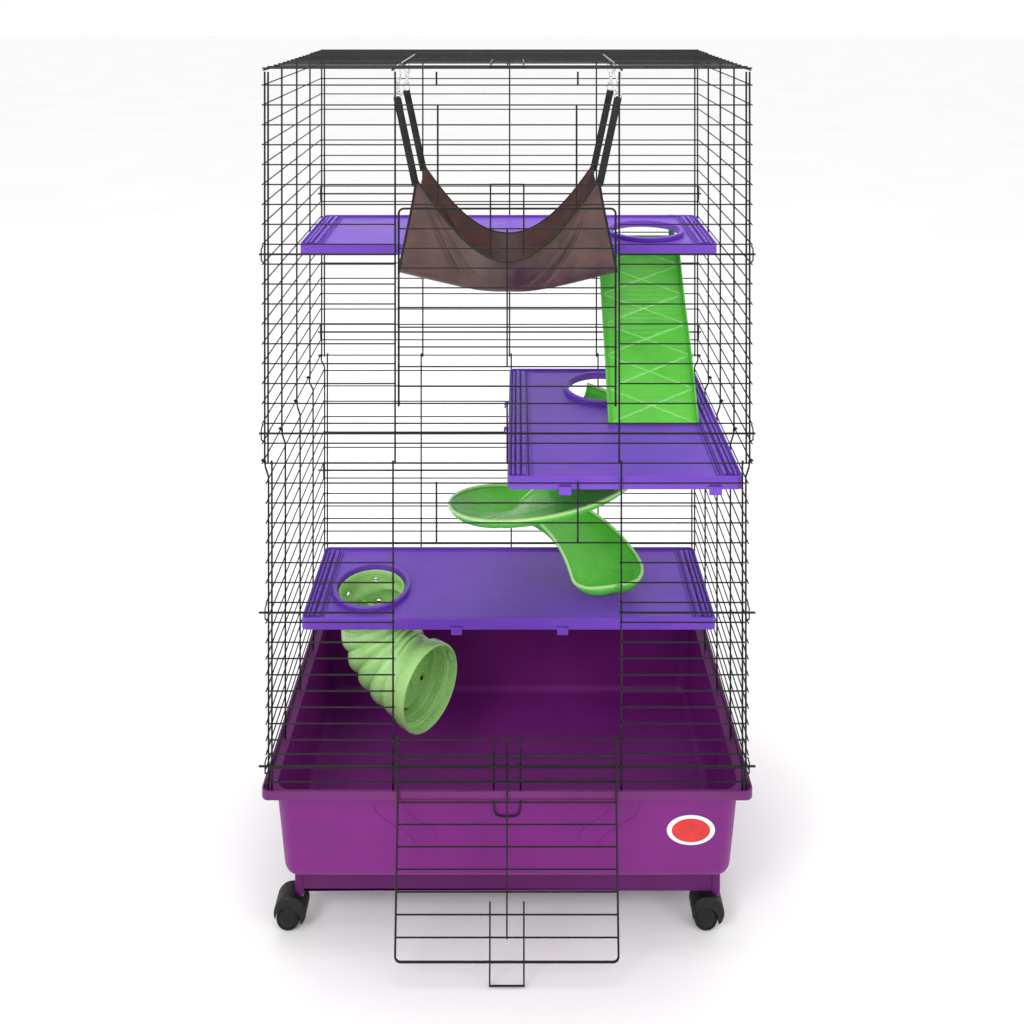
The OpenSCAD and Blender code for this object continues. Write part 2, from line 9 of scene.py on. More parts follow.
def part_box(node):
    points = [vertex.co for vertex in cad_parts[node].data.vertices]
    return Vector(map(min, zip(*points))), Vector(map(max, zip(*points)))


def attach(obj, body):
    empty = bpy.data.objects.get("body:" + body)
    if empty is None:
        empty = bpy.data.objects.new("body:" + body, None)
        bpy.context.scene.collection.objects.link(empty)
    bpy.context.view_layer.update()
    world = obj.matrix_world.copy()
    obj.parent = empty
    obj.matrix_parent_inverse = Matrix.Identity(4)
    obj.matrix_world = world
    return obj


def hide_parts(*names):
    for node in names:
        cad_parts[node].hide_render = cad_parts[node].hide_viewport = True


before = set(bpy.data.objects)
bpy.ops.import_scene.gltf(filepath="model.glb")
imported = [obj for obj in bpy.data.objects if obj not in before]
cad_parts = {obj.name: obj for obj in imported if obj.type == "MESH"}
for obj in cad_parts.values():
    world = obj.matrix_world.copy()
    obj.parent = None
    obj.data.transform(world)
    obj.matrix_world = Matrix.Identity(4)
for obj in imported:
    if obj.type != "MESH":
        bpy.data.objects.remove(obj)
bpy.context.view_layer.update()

trayLow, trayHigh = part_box("tray")
cageY = (trayLow[1] + trayHigh[1]) / 2  # middle of the wire box, front to back
toModel = Matrix.Translation((0, cageY, 0)) @ Matrix.Scale(0.001, 4)  # pieces are drawn in mm
nodeNames = list(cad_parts)


def newGroup(name, inputs, outputs):
    group = bpy.data.node_groups.new(name, "ShaderNodeTree")
    for label, kind, value in inputs:
        socket = group.interface.new_socket(label, in_out="INPUT", socket_type=kind)
        if value is not None:
            socket.default_value = value
    for label, kind in outputs:
        group.interface.new_socket(label, in_out="OUTPUT", socket_type=kind)
    return group, group.nodes.new("NodeGroupInput"), group.nodes.new("NodeGroupOutput")


def addNode(tree, kind, values=None, **settings):
    node = tree.nodes.new(kind)
    for key, value in settings.items():
        setattr(node, key, value)
    for key, value in (values or {}).items():
        if isinstance(value, bpy.types.NodeSocket):
            tree.links.new(value, node.inputs[key])
        else:
            node.inputs[key].default_value = value
    return node


def mixColours(tree, factor, a, b):
    node = tree.nodes.new("ShaderNodeMix")
    node.data_type = "RGBA"
    for socket, value in ((node.inputs[0], factor), (node.inputs[6], a), (node.inputs[7], b)):
        if isinstance(value, bpy.types.NodeSocket):
            tree.links.new(value, socket)
        else:
            socket.default_value = value
    return node.outputs[2]


def rangeOf(tree, value, low, high, outLow, outHigh):
    return addNode(tree, "ShaderNodeMapRange", {"Value": value, "From Min": low, "From Max": high,
                                                "To Min": outLow, "To Max": outHigh}).outputs[0]


def makeMouldedGroup():  # cloudy colour, rubbed gloss and a fine spark-eroded grain
    group, given, out = newGroup(
        "mouldedSurface",
        [("Vector", "NodeSocketVector", None), ("Dark", "NodeSocketColor", None), ("Light", "NodeSocketColor", None),
         ("Rough Low", "NodeSocketFloat", 0.3), ("Rough High", "NodeSocketFloat", 0.45),
         ("Grain Scale", "NodeSocketFloat", 900.0), ("Cloud Scale", "NodeSocketFloat", 7.0)],
        [("Colour", "NodeSocketColor"), ("Roughness", "NodeSocketFloat"), ("Height", "NodeSocketFloat")])
    vector = given.outputs["Vector"]
    cloud = addNode(group, "ShaderNodeTexNoise", {"Vector": vector, "Scale": given.outputs["Cloud Scale"],
                                                  "Detail": 4.0, "Roughness": 0.55})
    grain = addNode(group, "ShaderNodeTexNoise", {"Vector": vector, "Scale": given.outputs["Grain Scale"],
                                                  "Detail": 2.0})
    stretched = addNode(group, "ShaderNodeMapping", {"Vector": vector, "Scale": (18.0, 260.0, 120.0),
                                                     "Rotation": (0.3, 0.5, 0.9)})
    rub = addNode(group, "ShaderNodeTexNoise", {"Vector": stretched.outputs[0], "Scale": 1.0, "Detail": 3.0})
    tone = rangeOf(group, cloud.outputs["Fac"], 0.32, 0.68, 0.0, 1.0)
    group.links.new(mixColours(group, tone, given.outputs["Dark"], given.outputs["Light"]), out.inputs["Colour"])
    worn = addNode(group, "ShaderNodeMath", {0: rub.outputs["Fac"], 1: cloud.outputs["Fac"]}, operation="ADD")
    rough = addNode(group, "ShaderNodeMapRange", {"Value": worn.outputs[0], "From Min": 0.75, "From Max": 1.25,
                                                  "To Min": given.outputs["Rough Low"],
                                                  "To Max": given.outputs["Rough High"]})
    group.links.new(rough.outputs[0], out.inputs["Roughness"])
    group.links.new(grain.outputs["Fac"], out.inputs["Height"])
    return group


def makeWeaveGroup():  # crossed threads on the piece's own UV map, in threads per metre
    group, given, out = newGroup(
        "wovenThreads",
        [("Vector", "NodeSocketVector", None), ("Dark", "NodeSocketColor", None), ("Light", "NodeSocketColor", None),
         ("Across", "NodeSocketFloat", 900.0), ("Along", "NodeSocketFloat", 900.0)],
        [("Colour", "NodeSocketColor"), ("Height", "NodeSocketFloat"), ("Roughness", "NodeSocketFloat")])
    split = addNode(group, "ShaderNodeSeparateXYZ", {0: given.outputs["Vector"]})
    waves = []
    for axis, count in ((0, "Across"), (1, "Along")):
        turn = addNode(group, "ShaderNodeMath", {0: split.outputs[axis], 1: given.outputs[count]},
                       operation="MULTIPLY")
        turn = addNode(group, "ShaderNodeMath", {0: turn.outputs[0], 1: 2 * math.pi}, operation="MULTIPLY")
        waves.append(addNode(group, "ShaderNodeMath", {0: turn.outputs[0]}, operation="SINE").outputs[0])
    weave = addNode(group, "ShaderNodeMath", {0: waves[0], 1: waves[1]}, operation="MULTIPLY")
    cloud = addNode(group, "ShaderNodeTexNoise", {"Vector": given.outputs["Vector"], "Scale": 26.0, "Detail": 5.0})
    tone = rangeOf(group, cloud.outputs["Fac"], 0.3, 0.7, 0.0, 1.0)
    thread = rangeOf(group, weave.outputs[0], -1.0, 1.0, 0.35, 0.65)
    both = addNode(group, "ShaderNodeMath", {0: tone, 1: thread}, operation="MULTIPLY")
    shade = rangeOf(group, both.outputs[0], 0.05, 0.6, 0.0, 1.0)
    group.links.new(mixColours(group, shade, given.outputs["Dark"], given.outputs["Light"]), out.inputs["Colour"])
    group.links.new(weave.outputs[0], out.inputs["Height"])
    group.links.new(rangeOf(group, tone, 0.0, 1.0, 0.34, 0.5), out.inputs["Roughness"])
    return group


mouldedGroup = makeMouldedGroup()
weaveGroup = makeWeaveGroup()


def newMaterial(name, constants):
    material = bpy.data.materials.new(name)
    material.use_nodes = True
    shader = material.node_tree.nodes["Principled BSDF"]
    for key, value in constants.items():
        shader.inputs[key].default_value = value
    return material, material.node_tree, shader


def addBump(tree, shader, height, strength, distance):
    bump = addNode(tree, "ShaderNodeBump", {"Height": height, "Strength": strength, "Distance": distance})
    tree.links.new(bump.outputs[0], shader.inputs["Normal"])


def mouldedMaterial(name, dark, light, rough=(0.3, 0.45), grain=900.0, cloud=7.0, bump=0.08, **constants):
    material, tree, shader = newMaterial(name, constants)
    coords = addNode(tree, "ShaderNodeTexCoord")
    surface = addNode(tree, "ShaderNodeGroup", node_tree=mouldedGroup)
    tree.links.new(coords.outputs["Object"], surface.inputs["Vector"])
    for key, value in (("Dark", (*dark, 1)), ("Light", (*light, 1)), ("Rough Low", rough[0]),
                       ("Rough High", rough[1]), ("Grain Scale", grain), ("Cloud Scale", cloud)):
        surface.inputs[key].default_value = value
    tree.links.new(surface.outputs["Colour"], shader.inputs["Base Color"])
    tree.links.new(surface.outputs["Roughness"], shader.inputs["Roughness"])
    addBump(tree, shader, surface.outputs["Height"], bump, 0.0004)
    return material


def wovenMaterial(name, dark, light, across=900.0, along=900.0, bump=0.3, **constants):
    material, tree, shader = newMaterial(name, constants)
    coords = addNode(tree, "ShaderNodeTexCoord")
    cloth = addNode(tree, "ShaderNodeGroup", node_tree=weaveGroup)
    tree.links.new(coords.outputs["UV"], cloth.inputs["Vector"])
    for key, value in (("Dark", (*dark, 1)), ("Light", (*light, 1)), ("Across", across), ("Along", along)):
        cloth.inputs[key].default_value = value
    tree.links.new(cloth.outputs["Colour"], shader.inputs["Base Color"])
    tree.links.new(cloth.outputs["Roughness"], shader.inputs["Roughness"])
    addBump(tree, shader, cloth.outputs["Height"], bump, 0.0003)
    return material


matt = {"Specular IOR Level": 0.22}
wireEnamel = mouldedMaterial("wireEnamel", (0.002, 0.002, 0.0025), (0.005, 0.005, 0.006), rough=(0.32, 0.46),
                             grain=420.0, cloud=40.0, bump=0.12, **{"Specular IOR Level": 0.3})
plumPlastic = mouldedMaterial("plumPlastic", (0.155, 0.009, 0.16), (0.19, 0.014, 0.195), rough=(0.38, 0.54),
                              grain=700.0, bump=0.1, **matt)
plumRim = mouldedMaterial("plumRim", (0.115, 0.006, 0.11), (0.15, 0.01, 0.145), rough=(0.32, 0.44), bump=0.06,
                          **{"Specular IOR Level": 0.35})
# the tray's plum darkened as painted shade for the skirt, which sits in shadow under the tray
plumSkirtPaintedShade = mouldedMaterial("plumSkirtPaintedShade", (0.085, 0.005, 0.088), (0.11, 0.008, 0.114), rough=(0.4, 0.55),
                            grain=700.0, bump=0.1, **matt)
violetPlastic = mouldedMaterial("violetPlastic", (0.14, 0.042, 0.45), (0.185, 0.062, 0.56), rough=(0.33, 0.5),
                                grain=800.0, bump=0.08, **{"Specular IOR Level": 0.4})
# a dark violet used as painted shade in the shelves' grooves and holes
violetPaintedShade = mouldedMaterial("violetPaintedShade", (0.02, 0.006, 0.07), (0.03, 0.01, 0.1), rough=(0.5, 0.6), **matt)
greenPlastic = mouldedMaterial("greenPlastic", (0.075, 0.46, 0.03), (0.13, 0.6, 0.06), rough=(0.24, 0.38),
                               grain=600.0, bump=0.05,
                               **{"Specular IOR Level": 0.35, "Subsurface Weight": 0.08, "Subsurface Scale": 0.004})
# a lighter, glossier green used as painted highlight along the ramp's raised lines
greenRidgeHighlight = mouldedMaterial("greenRidgeHighlight", (0.2, 0.64, 0.13), (0.28, 0.74, 0.19), rough=(0.2, 0.32), bump=0.03)
limePlastic = mouldedMaterial("limePlastic", (0.36, 0.68, 0.2), (0.48, 0.8, 0.32), rough=(0.2, 0.34),
                              grain=600.0, bump=0.05, **{"Subsurface Weight": 0.08, "Subsurface Scale": 0.004})
casterPlastic = mouldedMaterial("casterPlastic", (0.006, 0.006, 0.007), (0.014, 0.013, 0.014), rough=(0.4, 0.55),
                                grain=1200.0, cloud=60.0, bump=0.2, **matt)
axleSteel = mouldedMaterial("axleSteel", (0.45, 0.45, 0.46), (0.62, 0.62, 0.63), rough=(0.25, 0.4), grain=2500.0,
                            cloud=90.0, bump=0.08, Metallic=1.0)
hookNickel = mouldedMaterial("hookNickel", (0.62, 0.61, 0.59), (0.8, 0.79, 0.77), rough=(0.1, 0.22), grain=900.0,
                             cloud=120.0, bump=0.05, Metallic=1.0)
badgeWhite = mouldedMaterial("badgeWhite", (0.78, 0.78, 0.79), (0.86, 0.86, 0.87), rough=(0.2, 0.3), bump=0.03)
badgeRed = mouldedMaterial("badgeRed", (0.55, 0.012, 0.012), (0.7, 0.02, 0.018), rough=(0.15, 0.28), cloud=50.0,
                           bump=0.03)
hammockSatin = wovenMaterial("hammockSatin", (0.028, 0.007, 0.0055), (0.075, 0.021, 0.016), across=1100.0,
                             along=1100.0, bump=0.22, **{"Sheen Weight": 0.01, "Sheen Roughness": 0.35,
                                                         "Specular IOR Level": 0.3})
# the same brown satin for the cloth's second face, made paler as painted sheen
hammockInnerSheen = wovenMaterial("hammockInnerSheen", (0.05, 0.017, 0.013), (0.13, 0.055, 0.043), across=1100.0,
                              along=1100.0, bump=0.16, **{"Sheen Weight": 0.05, "Sheen Roughness": 0.3,
                                                          "Specular IOR Level": 0.7})
blackTape = wovenMaterial("blackTape", (0.006, 0.006, 0.007), (0.02, 0.02, 0.022), across=600.0, along=420.0,
                          bump=0.6, **{"Sheen Weight": 0.08, "Specular IOR Level": 0.25})
print("materials made")

# the mesh helpers below draw in mm about the cage's middle


def vertsOf(result):
    return [item for item in result["geom"] if isinstance(item, bmesh.types.BMVert)]


def addPiece(bm, name, materials, body="cage", replaces=(), place=toModel, bevel=0.0, segments=2,
             smooth=35, merge=0.001, recalc=True, wall=0.0):
    bmesh.ops.remove_doubles(bm, verts=bm.verts, dist=merge)
    if recalc:
        bmesh.ops.recalc_face_normals(bm, faces=bm.faces)
    bmesh.ops.transform(bm, matrix=place, verts=bm.verts)
    mesh = bpy.data.meshes.new(name)
    bm.to_mesh(mesh)
    bm.free()
    for material in materials:
        mesh.materials.append(material)
    mesh.shade_smooth()
    mesh.set_sharp_from_angle(angle=math.radians(smooth))
    piece = bpy.data.objects.new(name, mesh)
    bpy.context.scene.collection.objects.link(piece)
    if wall:
        thick = piece.modifiers.new("wall", "SOLIDIFY")
        thick.thickness, thick.offset, thick.use_even_offset = wall / 1000, -1, True
    if bevel:
        soft = piece.modifiers.new("softEdges", "BEVEL")
        soft.width, soft.segments, soft.limit_method = bevel / 1000, segments, "ANGLE"
        soft.angle_limit = math.radians(smooth)
        soft.use_clamp_overlap = True
    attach(piece, body)
    if replaces:
        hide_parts(*replaces)
    return piece


def outline(bm, shape, z):  # a rounded rectangle or a circle, as edges only
    x, y = shape.get("at", (0, 0))
    if "radius" in shape:
        made = bmesh.ops.create_circle(bm, segments=shape.get("steps", 64), radius=shape["radius"],
                                       matrix=Matrix.Translation((x, y, z)))
        return list({edge for vert in made["verts"] for edge in vert.link_edges})
    width, depth = shape["size"]
    place = Matrix.Translation((x, y, z)) @ Matrix.Diagonal((width / 2, depth / 2, 1, 1))
    made = bmesh.ops.create_grid(bm, x_segments=1, y_segments=1, size=1, matrix=place)
    corner = bmesh.ops.bevel(bm, geom=made["verts"], offset=shape["corner"], segments=shape.get("steps", 8),
                             profile=0.5, affect="VERTICES", material=-1)
    verts = {vert for face in corner["faces"] for vert in face.verts} or set(corner["verts"])
    faces = {face for vert in verts for face in vert.link_faces}
    edges = {edge for face in faces for edge in face.edges}
    bmesh.ops.delete(bm, geom=list(faces), context="FACES_ONLY")
    return list(edges)


def pad(bm, shape, low, high):  # a solid slab of that outline
    edges = outline(bm, shape, low)
    face = bmesh.ops.contextual_create(bm, geom=edges)["faces"]
    top = vertsOf(bmesh.ops.extrude_face_region(bm, geom=face))
    bmesh.ops.translate(bm, vec=(0, 0, high - low), verts=top)


def washer(bm, outer, inner, low, high):  # a slab with a hole in it
    edges = outline(bm, outer, low) + outline(bm, inner, low)
    faces = bmesh.ops.bridge_loops(bm, edges=edges)["faces"]
    top = vertsOf(bmesh.ops.extrude_face_region(bm, geom=faces))
    bmesh.ops.translate(bm, vec=(0, 0, high - low), verts=top)


def block(bm, centre, size, turn=Matrix.Identity(4)):
    place = Matrix.Translation(centre) @ turn @ Matrix.Diagonal((*size, 1))
    bmesh.ops.create_cube(bm, size=1, matrix=place)


def lathe(bm, profile, place=Matrix.Identity(4), steps=64, closed=True):  # (radius, height) points about Z
    verts = [bm.verts.new((radius, 0, height)) for radius, height in profile]
    pairs = list(zip(verts, verts[1:])) + ([(verts[-1], verts[0])] if closed else [])
    edges = [bm.edges.new(pair) for pair in pairs]
    bmesh.ops.spin(bm, geom=verts + edges, cent=(0, 0, 0), axis=(0, 0, 1), angle=2 * math.pi, steps=steps,
                   use_merge=True)
    grown = set(verts)
    front = list(verts)
    while front:  # every vertex of this turned shape
        vert = front.pop()
        for edge in vert.link_edges:
            other = edge.other_vert(vert)
            if other not in grown:
                grown.add(other)
                front.append(other)
    bmesh.ops.remove_doubles(bm, verts=[vert for vert in grown if math.hypot(vert.co.x, vert.co.y) < 1e-4],
                             dist=0.001)
    bmesh.ops.transform(bm, matrix=place, verts=[vert for vert in grown if vert.is_valid])


def tubeAlong(points, radius, closed=False):  # a round bar along points, as a mesh
    curve = bpy.data.curves.new("bar", "CURVE")
    curve.dimensions = "3D"
    curve.resolution_u = 3
    spline = curve.splines.new("NURBS" if len(points) > 3 else "POLY")
    spline.points.add(len(points) - 1)
    for point, target in zip(spline.points, points):
        point.co = (*target, 1)
    spline.use_cyclic_u = closed
    if spline.type == "NURBS":
        spline.order_u = 4
        spline.use_endpoint_u = not closed
    curve.bevel_depth, curve.bevel_resolution = radius, 3
    curve.use_fill_caps = True
    holder = bpy.data.objects.new("bar", curve)
    bpy.context.scene.collection.objects.link(holder)
    bpy.context.view_layer.update()
    mesh = bpy.data.meshes.new_from_object(holder.evaluated_get(bpy.context.evaluated_depsgraph_get()))
    bpy.data.objects.remove(holder)
    bpy.data.curves.remove(curve)
    return mesh


def addMesh(bm, mesh):
    bm.from_mesh(mesh)
    bpy.data.meshes.remove(mesh)


def carve(bm, cutter):  # takes the cutter's shape out of bm, and returns a new bmesh
    holders = []
    for shape in (bm, cutter):
        bmesh.ops.recalc_face_normals(shape, faces=shape.faces)
        mesh = bpy.data.meshes.new("carving")
        shape.to_mesh(mesh)
        shape.free()
        holder = bpy.data.objects.new("carving", mesh)
        bpy.context.scene.collection.objects.link(holder)
        holders.append(holder)
    cut = holders[0].modifiers.new("cut", "BOOLEAN")
    cut.operation, cut.object, cut.solver = "DIFFERENCE", holders[1], "EXACT"
    bpy.context.view_layer.update()
    result = bpy.data.meshes.new_from_object(holders[0].evaluated_get(bpy.context.evaluated_depsgraph_get()))
    carved = bmesh.new()
    addMesh(carved, result)
    for holder in holders:
        mesh = holder.data
        bpy.data.objects.remove(holder)
        bpy.data.meshes.remove(mesh)
    return carved


camera = {"place": (0.017, -1.7775, 1.517), "lens": 34.734, "shift": (-0.00586, -0.51075)}  # y from cageY
floorLook = {"size": 60.0, "colour": (0.95, 0.945, 0.94)}
lights = [  # name, place, aim, size, watts
    ("keyBox", (-1.9, -2.6, 2.7), (0, 0, 0.75), 1.5, 42),
    ("fillBox", (2.3, -2.2, 1.9), (0, 0, 0.7), 1.6, 16),
    ("topBox", (0.0, 0.1, 3.4), (0, 0.05, 0.6), 1.6, 30),
]


def buildStage():
    eye = bpy.data.objects.new("camera", bpy.data.cameras.new("camera"))
    bpy.context.scene.collection.objects.link(eye)
    eye.location = (camera["place"][0], camera["place"][1] + cageY, camera["place"][2])
    eye.rotation_euler = (math.pi / 2, 0, 0)
    eye.data.sensor_width, eye.data.lens = 36, camera["lens"]
    eye.data.shift_x, eye.data.shift_y = camera["shift"]
    eye.data.clip_start = 0.05
    bpy.context.scene.camera = eye
    for name, place, aim, size, watts in lights:
        lamp = bpy.data.lights.new(name, "AREA")
        lamp.shape, lamp.size, lamp.energy = "DISK", size, watts
        holder = bpy.data.objects.new(name, lamp)
        bpy.context.scene.collection.objects.link(holder)
        holder.location = place
        holder.rotation_euler = (Vector(aim) - Vector(place)).to_track_quat("-Z", "Y").to_euler()
    world = bpy.data.worlds.new("studio")
    bpy.context.scene.world = world
    world.use_nodes = True
    world.node_tree.nodes["Background"].inputs["Color"].default_value = (1.0, 1.0, 1.0, 1)
    world.node_tree.nodes["Background"].inputs["Strength"].default_value = 1.0
    bm = bmesh.new()
    bmesh.ops.create_grid(bm, x_segments=1, y_segments=1, size=floorLook["size"] / 2)
    mesh = bpy.data.meshes.new("floor")
    bm.to_mesh(mesh)
    bm.free()
    floor = bpy.data.objects.new("floor", mesh)
    bpy.context.scene.collection.objects.link(floor)
    light = tuple(c * 1.03 for c in floorLook["colour"])
    mesh.materials.append(mouldedMaterial("floorPaper", floorLook["colour"], light, rough=(0.75, 0.9), grain=300.0,
                                          cloud=1.5, bump=0.02))
    bpy.context.scene.view_settings.view_transform = "Standard"


buildStage()
print("stage made")


wireNodes = [name for name in nodeNames
             if name.endswith(("_panel", "_door", "_latch")) or name in ("tier_hooks", "corner_loops")]


def paintNode(name, material):
    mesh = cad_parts[name].data
    mesh.materials.clear()
    mesh.materials.append(material)


for name in wireNodes:
    paintNode(name, wireEnamel)
print("wires enamelled:", len(wireNodes))


tray = {"top": (369, 221), "bottom": (356, 211), "low": 104, "ledge": 251, "rim": (385, 236.5), "rimTop": 265,
        "wall": 3, "corner": 26, "rimCorner": 12, "sole": 16}
trayDetail = {"curves": ((168, 1.0), (128, 0.8)), "curveTop": 232, "curveDrop": 74, "curveWide": 42, "curveLean": 18,
              "curveBar": 0.9, "ribs": (-70, 70), "ribX": 361, "ribLean": 0.088,
              "catch": ((-21, 247), (-21, 226), (-20, 218), (-15, 213.6), (-8, 213), (8, 213), (15, 213.6),
                        (20, 218), (21, 226), (21, 247)), "catchShadeBar": 1.3, "catchProud": 2.2}


def growLoop(verts, fromHalf, fromCorner, toHalf, toCorner, z):  # moves a rounded loop out to a larger one
    for vert in verts:
        sx, sy = math.copysign(1, vert.co.x), math.copysign(1, vert.co.y)
        dx = abs(vert.co.x) - (fromHalf[0] - fromCorner)
        dy = abs(vert.co.y) - (fromHalf[1] - fromCorner)
        turn = math.atan2(max(dy, 0), max(dx, 0))
        vert.co.x = sx * (toHalf[0] - toCorner + toCorner * math.cos(turn))
        vert.co.y = sy * (toHalf[1] - toCorner + toCorner * math.sin(turn))
        vert.co.z = z


def buildTray():
    bm = bmesh.new()
    t = tray
    height = t["ledge"] - t["low"]
    block(bm, (0, 0, t["low"] + height / 2), (2 * t["top"][0], 2 * t["top"][1], height))
    upright = [edge for edge in bm.edges if abs(edge.verts[0].co.z - edge.verts[1].co.z) > 1]
    bmesh.ops.bevel(bm, geom=upright, offset=t["corner"], segments=8, profile=0.5, affect="EDGES", material=-1)
    low = [vert for vert in bm.verts if vert.co.z < t["low"] + 1]
    bmesh.ops.scale(bm, vec=(t["bottom"][0] / t["top"][0], t["bottom"][1] / t["top"][1], 1), verts=low)
    sole = [edge for edge in bm.edges if all(vert.co.z < t["low"] + 1 for vert in edge.verts)]
    bmesh.ops.bevel(bm, geom=sole, offset=t["sole"], segments=6, profile=0.5, affect="EDGES", material=-1)
    lid = [face for face in bm.faces if all(vert.co.z > t["ledge"] - 1 for vert in face.verts)]
    bmesh.ops.delete(bm, geom=lid, context="FACES_ONLY")
    bmesh.ops.recalc_face_normals(bm, faces=bm.faces)
    brim = [edge for edge in bm.edges if edge.is_boundary]
    out = vertsOf(bmesh.ops.extrude_edge_only(bm, edges=brim))
    growLoop(out, t["top"], t["corner"], t["rim"], t["rimCorner"], t["ledge"])
    brim = [edge for edge in bm.edges if edge.is_boundary]
    up = vertsOf(bmesh.ops.extrude_edge_only(bm, edges=brim))
    bmesh.ops.translate(bm, vec=(0, 0, t["rimTop"] - t["ledge"]), verts=up)
    for face in bm.faces:
        face.material_index = 1 if face.calc_center_median().z > t["ledge"] - 0.5 else 0
    addPiece(bm, "tray", [plumPlastic, plumRim], replaces=["tray"], bevel=0.9, segments=3,
             wall=t["wall"])


buildTray()


def trayWallY(z):  # front face of the tray at a height
    t = tray
    share = (z - t["low"]) / (t["ledge"] - t["low"])
    return -(t["bottom"][1] + (t["top"][1] - t["bottom"][1]) * share)


def buildTrayDetail():
    d = trayDetail
    bm = bmesh.new()
    for side in (-1, 1):  # shallow moulded curves on the front wall
        for start, reach in d["curves"]:
            points = []
            for i in range(13):
                share = i / 12
                z = d["curveTop"] - d["curveDrop"] * share * reach
                x = start + d["curveWide"] * math.cos(math.pi * share) * reach + d["curveLean"] * share
                points.append((side * x, trayWallY(z) + 0.15, z))
            addMesh(bm, tubeAlong(points, d["curveBar"]))
    for side in (-1, 1):  # ribs inside the ends
        for y in d["ribs"]:
            block(bm, (side * d["ribX"], y, 180), (3, 4, 118), Matrix.Rotation(side * d["ribLean"], 4, "Y"))
    addPiece(bm, "trayCurves", [plumPlastic], smooth=50)
    bm = bmesh.new()
    # a black bar standing in the catch's U-shaped gap as painted shade
    catch = [(x, trayWallY(z) - d["catchProud"], z) for x, z in d["catch"]]
    addMesh(bm, tubeAlong(catch, d["catchShadeBar"]))
    addPiece(bm, "trayCatchGapShade", [wireEnamel], smooth=60)
    bm = bmesh.new()
    block(bm, (0, trayWallY(242) - 0.6, 242), (46, 3, 3))
    for side in (-1, 1):
        block(bm, (side * 24.5, trayWallY(240) - d["catchProud"], 240), (3, 6, 17))
    addPiece(bm, "trayCatchCheeks", [plumPlastic], bevel=0.8)


buildTrayDetail()
print("tray made")


skirt = {"leg": (336.8, 172.5), "low": 57.5, "legLow": 49.5, "high": 103.8, "plate": 3, "post": 15,
         "ribs": (-224, -112, 0, 112, 224), "bore": 4.05, "bush": 7.5}
badge = {"at": (290, 189), "half": (38, 25), "field": 0.8}


def buildSkirt():
    s = skirt
    bm = bmesh.new()
    legX, legY = s["leg"]
    tall = s["high"] - s["low"]
    middle = s["low"] + tall / 2
    for side in (-1, 1):
        block(bm, (0, side * (legY + 4.5), middle), (2 * legX - 12, s["plate"], tall))
        block(bm, (side * (legX + 4.5), 0, middle), (s["plate"], 2 * legY - 12, tall))
        block(bm, (0, side * (legY + 3.5), s["low"] + 2), (2 * legX - 12, 5, 4))
        for x in s["ribs"]:
            block(bm, (x, side * (legY + 1.5), middle), (3, 4, tall - 2))
        for end in (-1, 1):
            x, y = side * legX, end * legY
            pad(bm, {"size": (s["post"], s["post"]), "corner": 3, "steps": 3, "at": (x, y)}, s["low"], s["high"])
            lathe(bm, [(s["bore"], s["legLow"]), (s["bush"] - 0.5, s["legLow"]), (s["bush"], s["legLow"] + 0.5),
                       (s["bush"], s["low"] + 0.5), (s["bore"], s["low"] + 0.5)], Matrix.Translation((x, y, 0)),
                  steps=40)
    addPiece(bm, "baseSkirt", [plumSkirtPaintedShade], replaces=["base_skirt"], bevel=0.7)


def buildBadge():
    tilt = math.atan((tray["top"][1] - tray["bottom"][1]) / (tray["ledge"] - tray["low"]))
    x, z = badge["at"]
    place = (toModel @ Matrix.Translation((x, trayWallY(z) - 0.1, z))
             @ Matrix.Rotation(math.pi / 2 + tilt, 4, "X"))
    bm = bmesh.new()
    shape = Matrix.Diagonal((*badge["half"], 1, 1))
    field = badge["field"]
    lathe(bm, [(1.0, 0), (1.0, 0.8), (0.97, 1.25), (field, 1.3), (field, 0)], shape, steps=72)
    addPiece(bm, "badgeBorder", [badgeWhite], replaces=["badge"], place=place, smooth=50)
    bm = bmesh.new()
    lathe(bm, [(0, 0.2), (field, 0.2), (field, 1.1), (0.7, 1.45), (0.4, 1.85), (0, 2.0)], shape, steps=72)
    addPiece(bm, "badgeField", [badgeRed], place=place, smooth=50)


buildSkirt()
buildBadge()
print("base made")


caster = {"trail": 17, "wheel": 18.8, "hood": 26, "hoodAt": (-13.5, 29.5), "hoodWide": 34, "web": 4.4,
          "cut": 14, "legLow": 49.5, "stem": 4, "stemTop": 68, "pocket": 16, "clear": 1.3, "seat": 8.6,
          "seatGap": 2.3}
corners = {"fl": (-1, -1), "fr": (1, -1), "bl": (-1, 1), "br": (1, 1)}
acrossY = Matrix.Rotation(math.pi / 2, 4, "X")


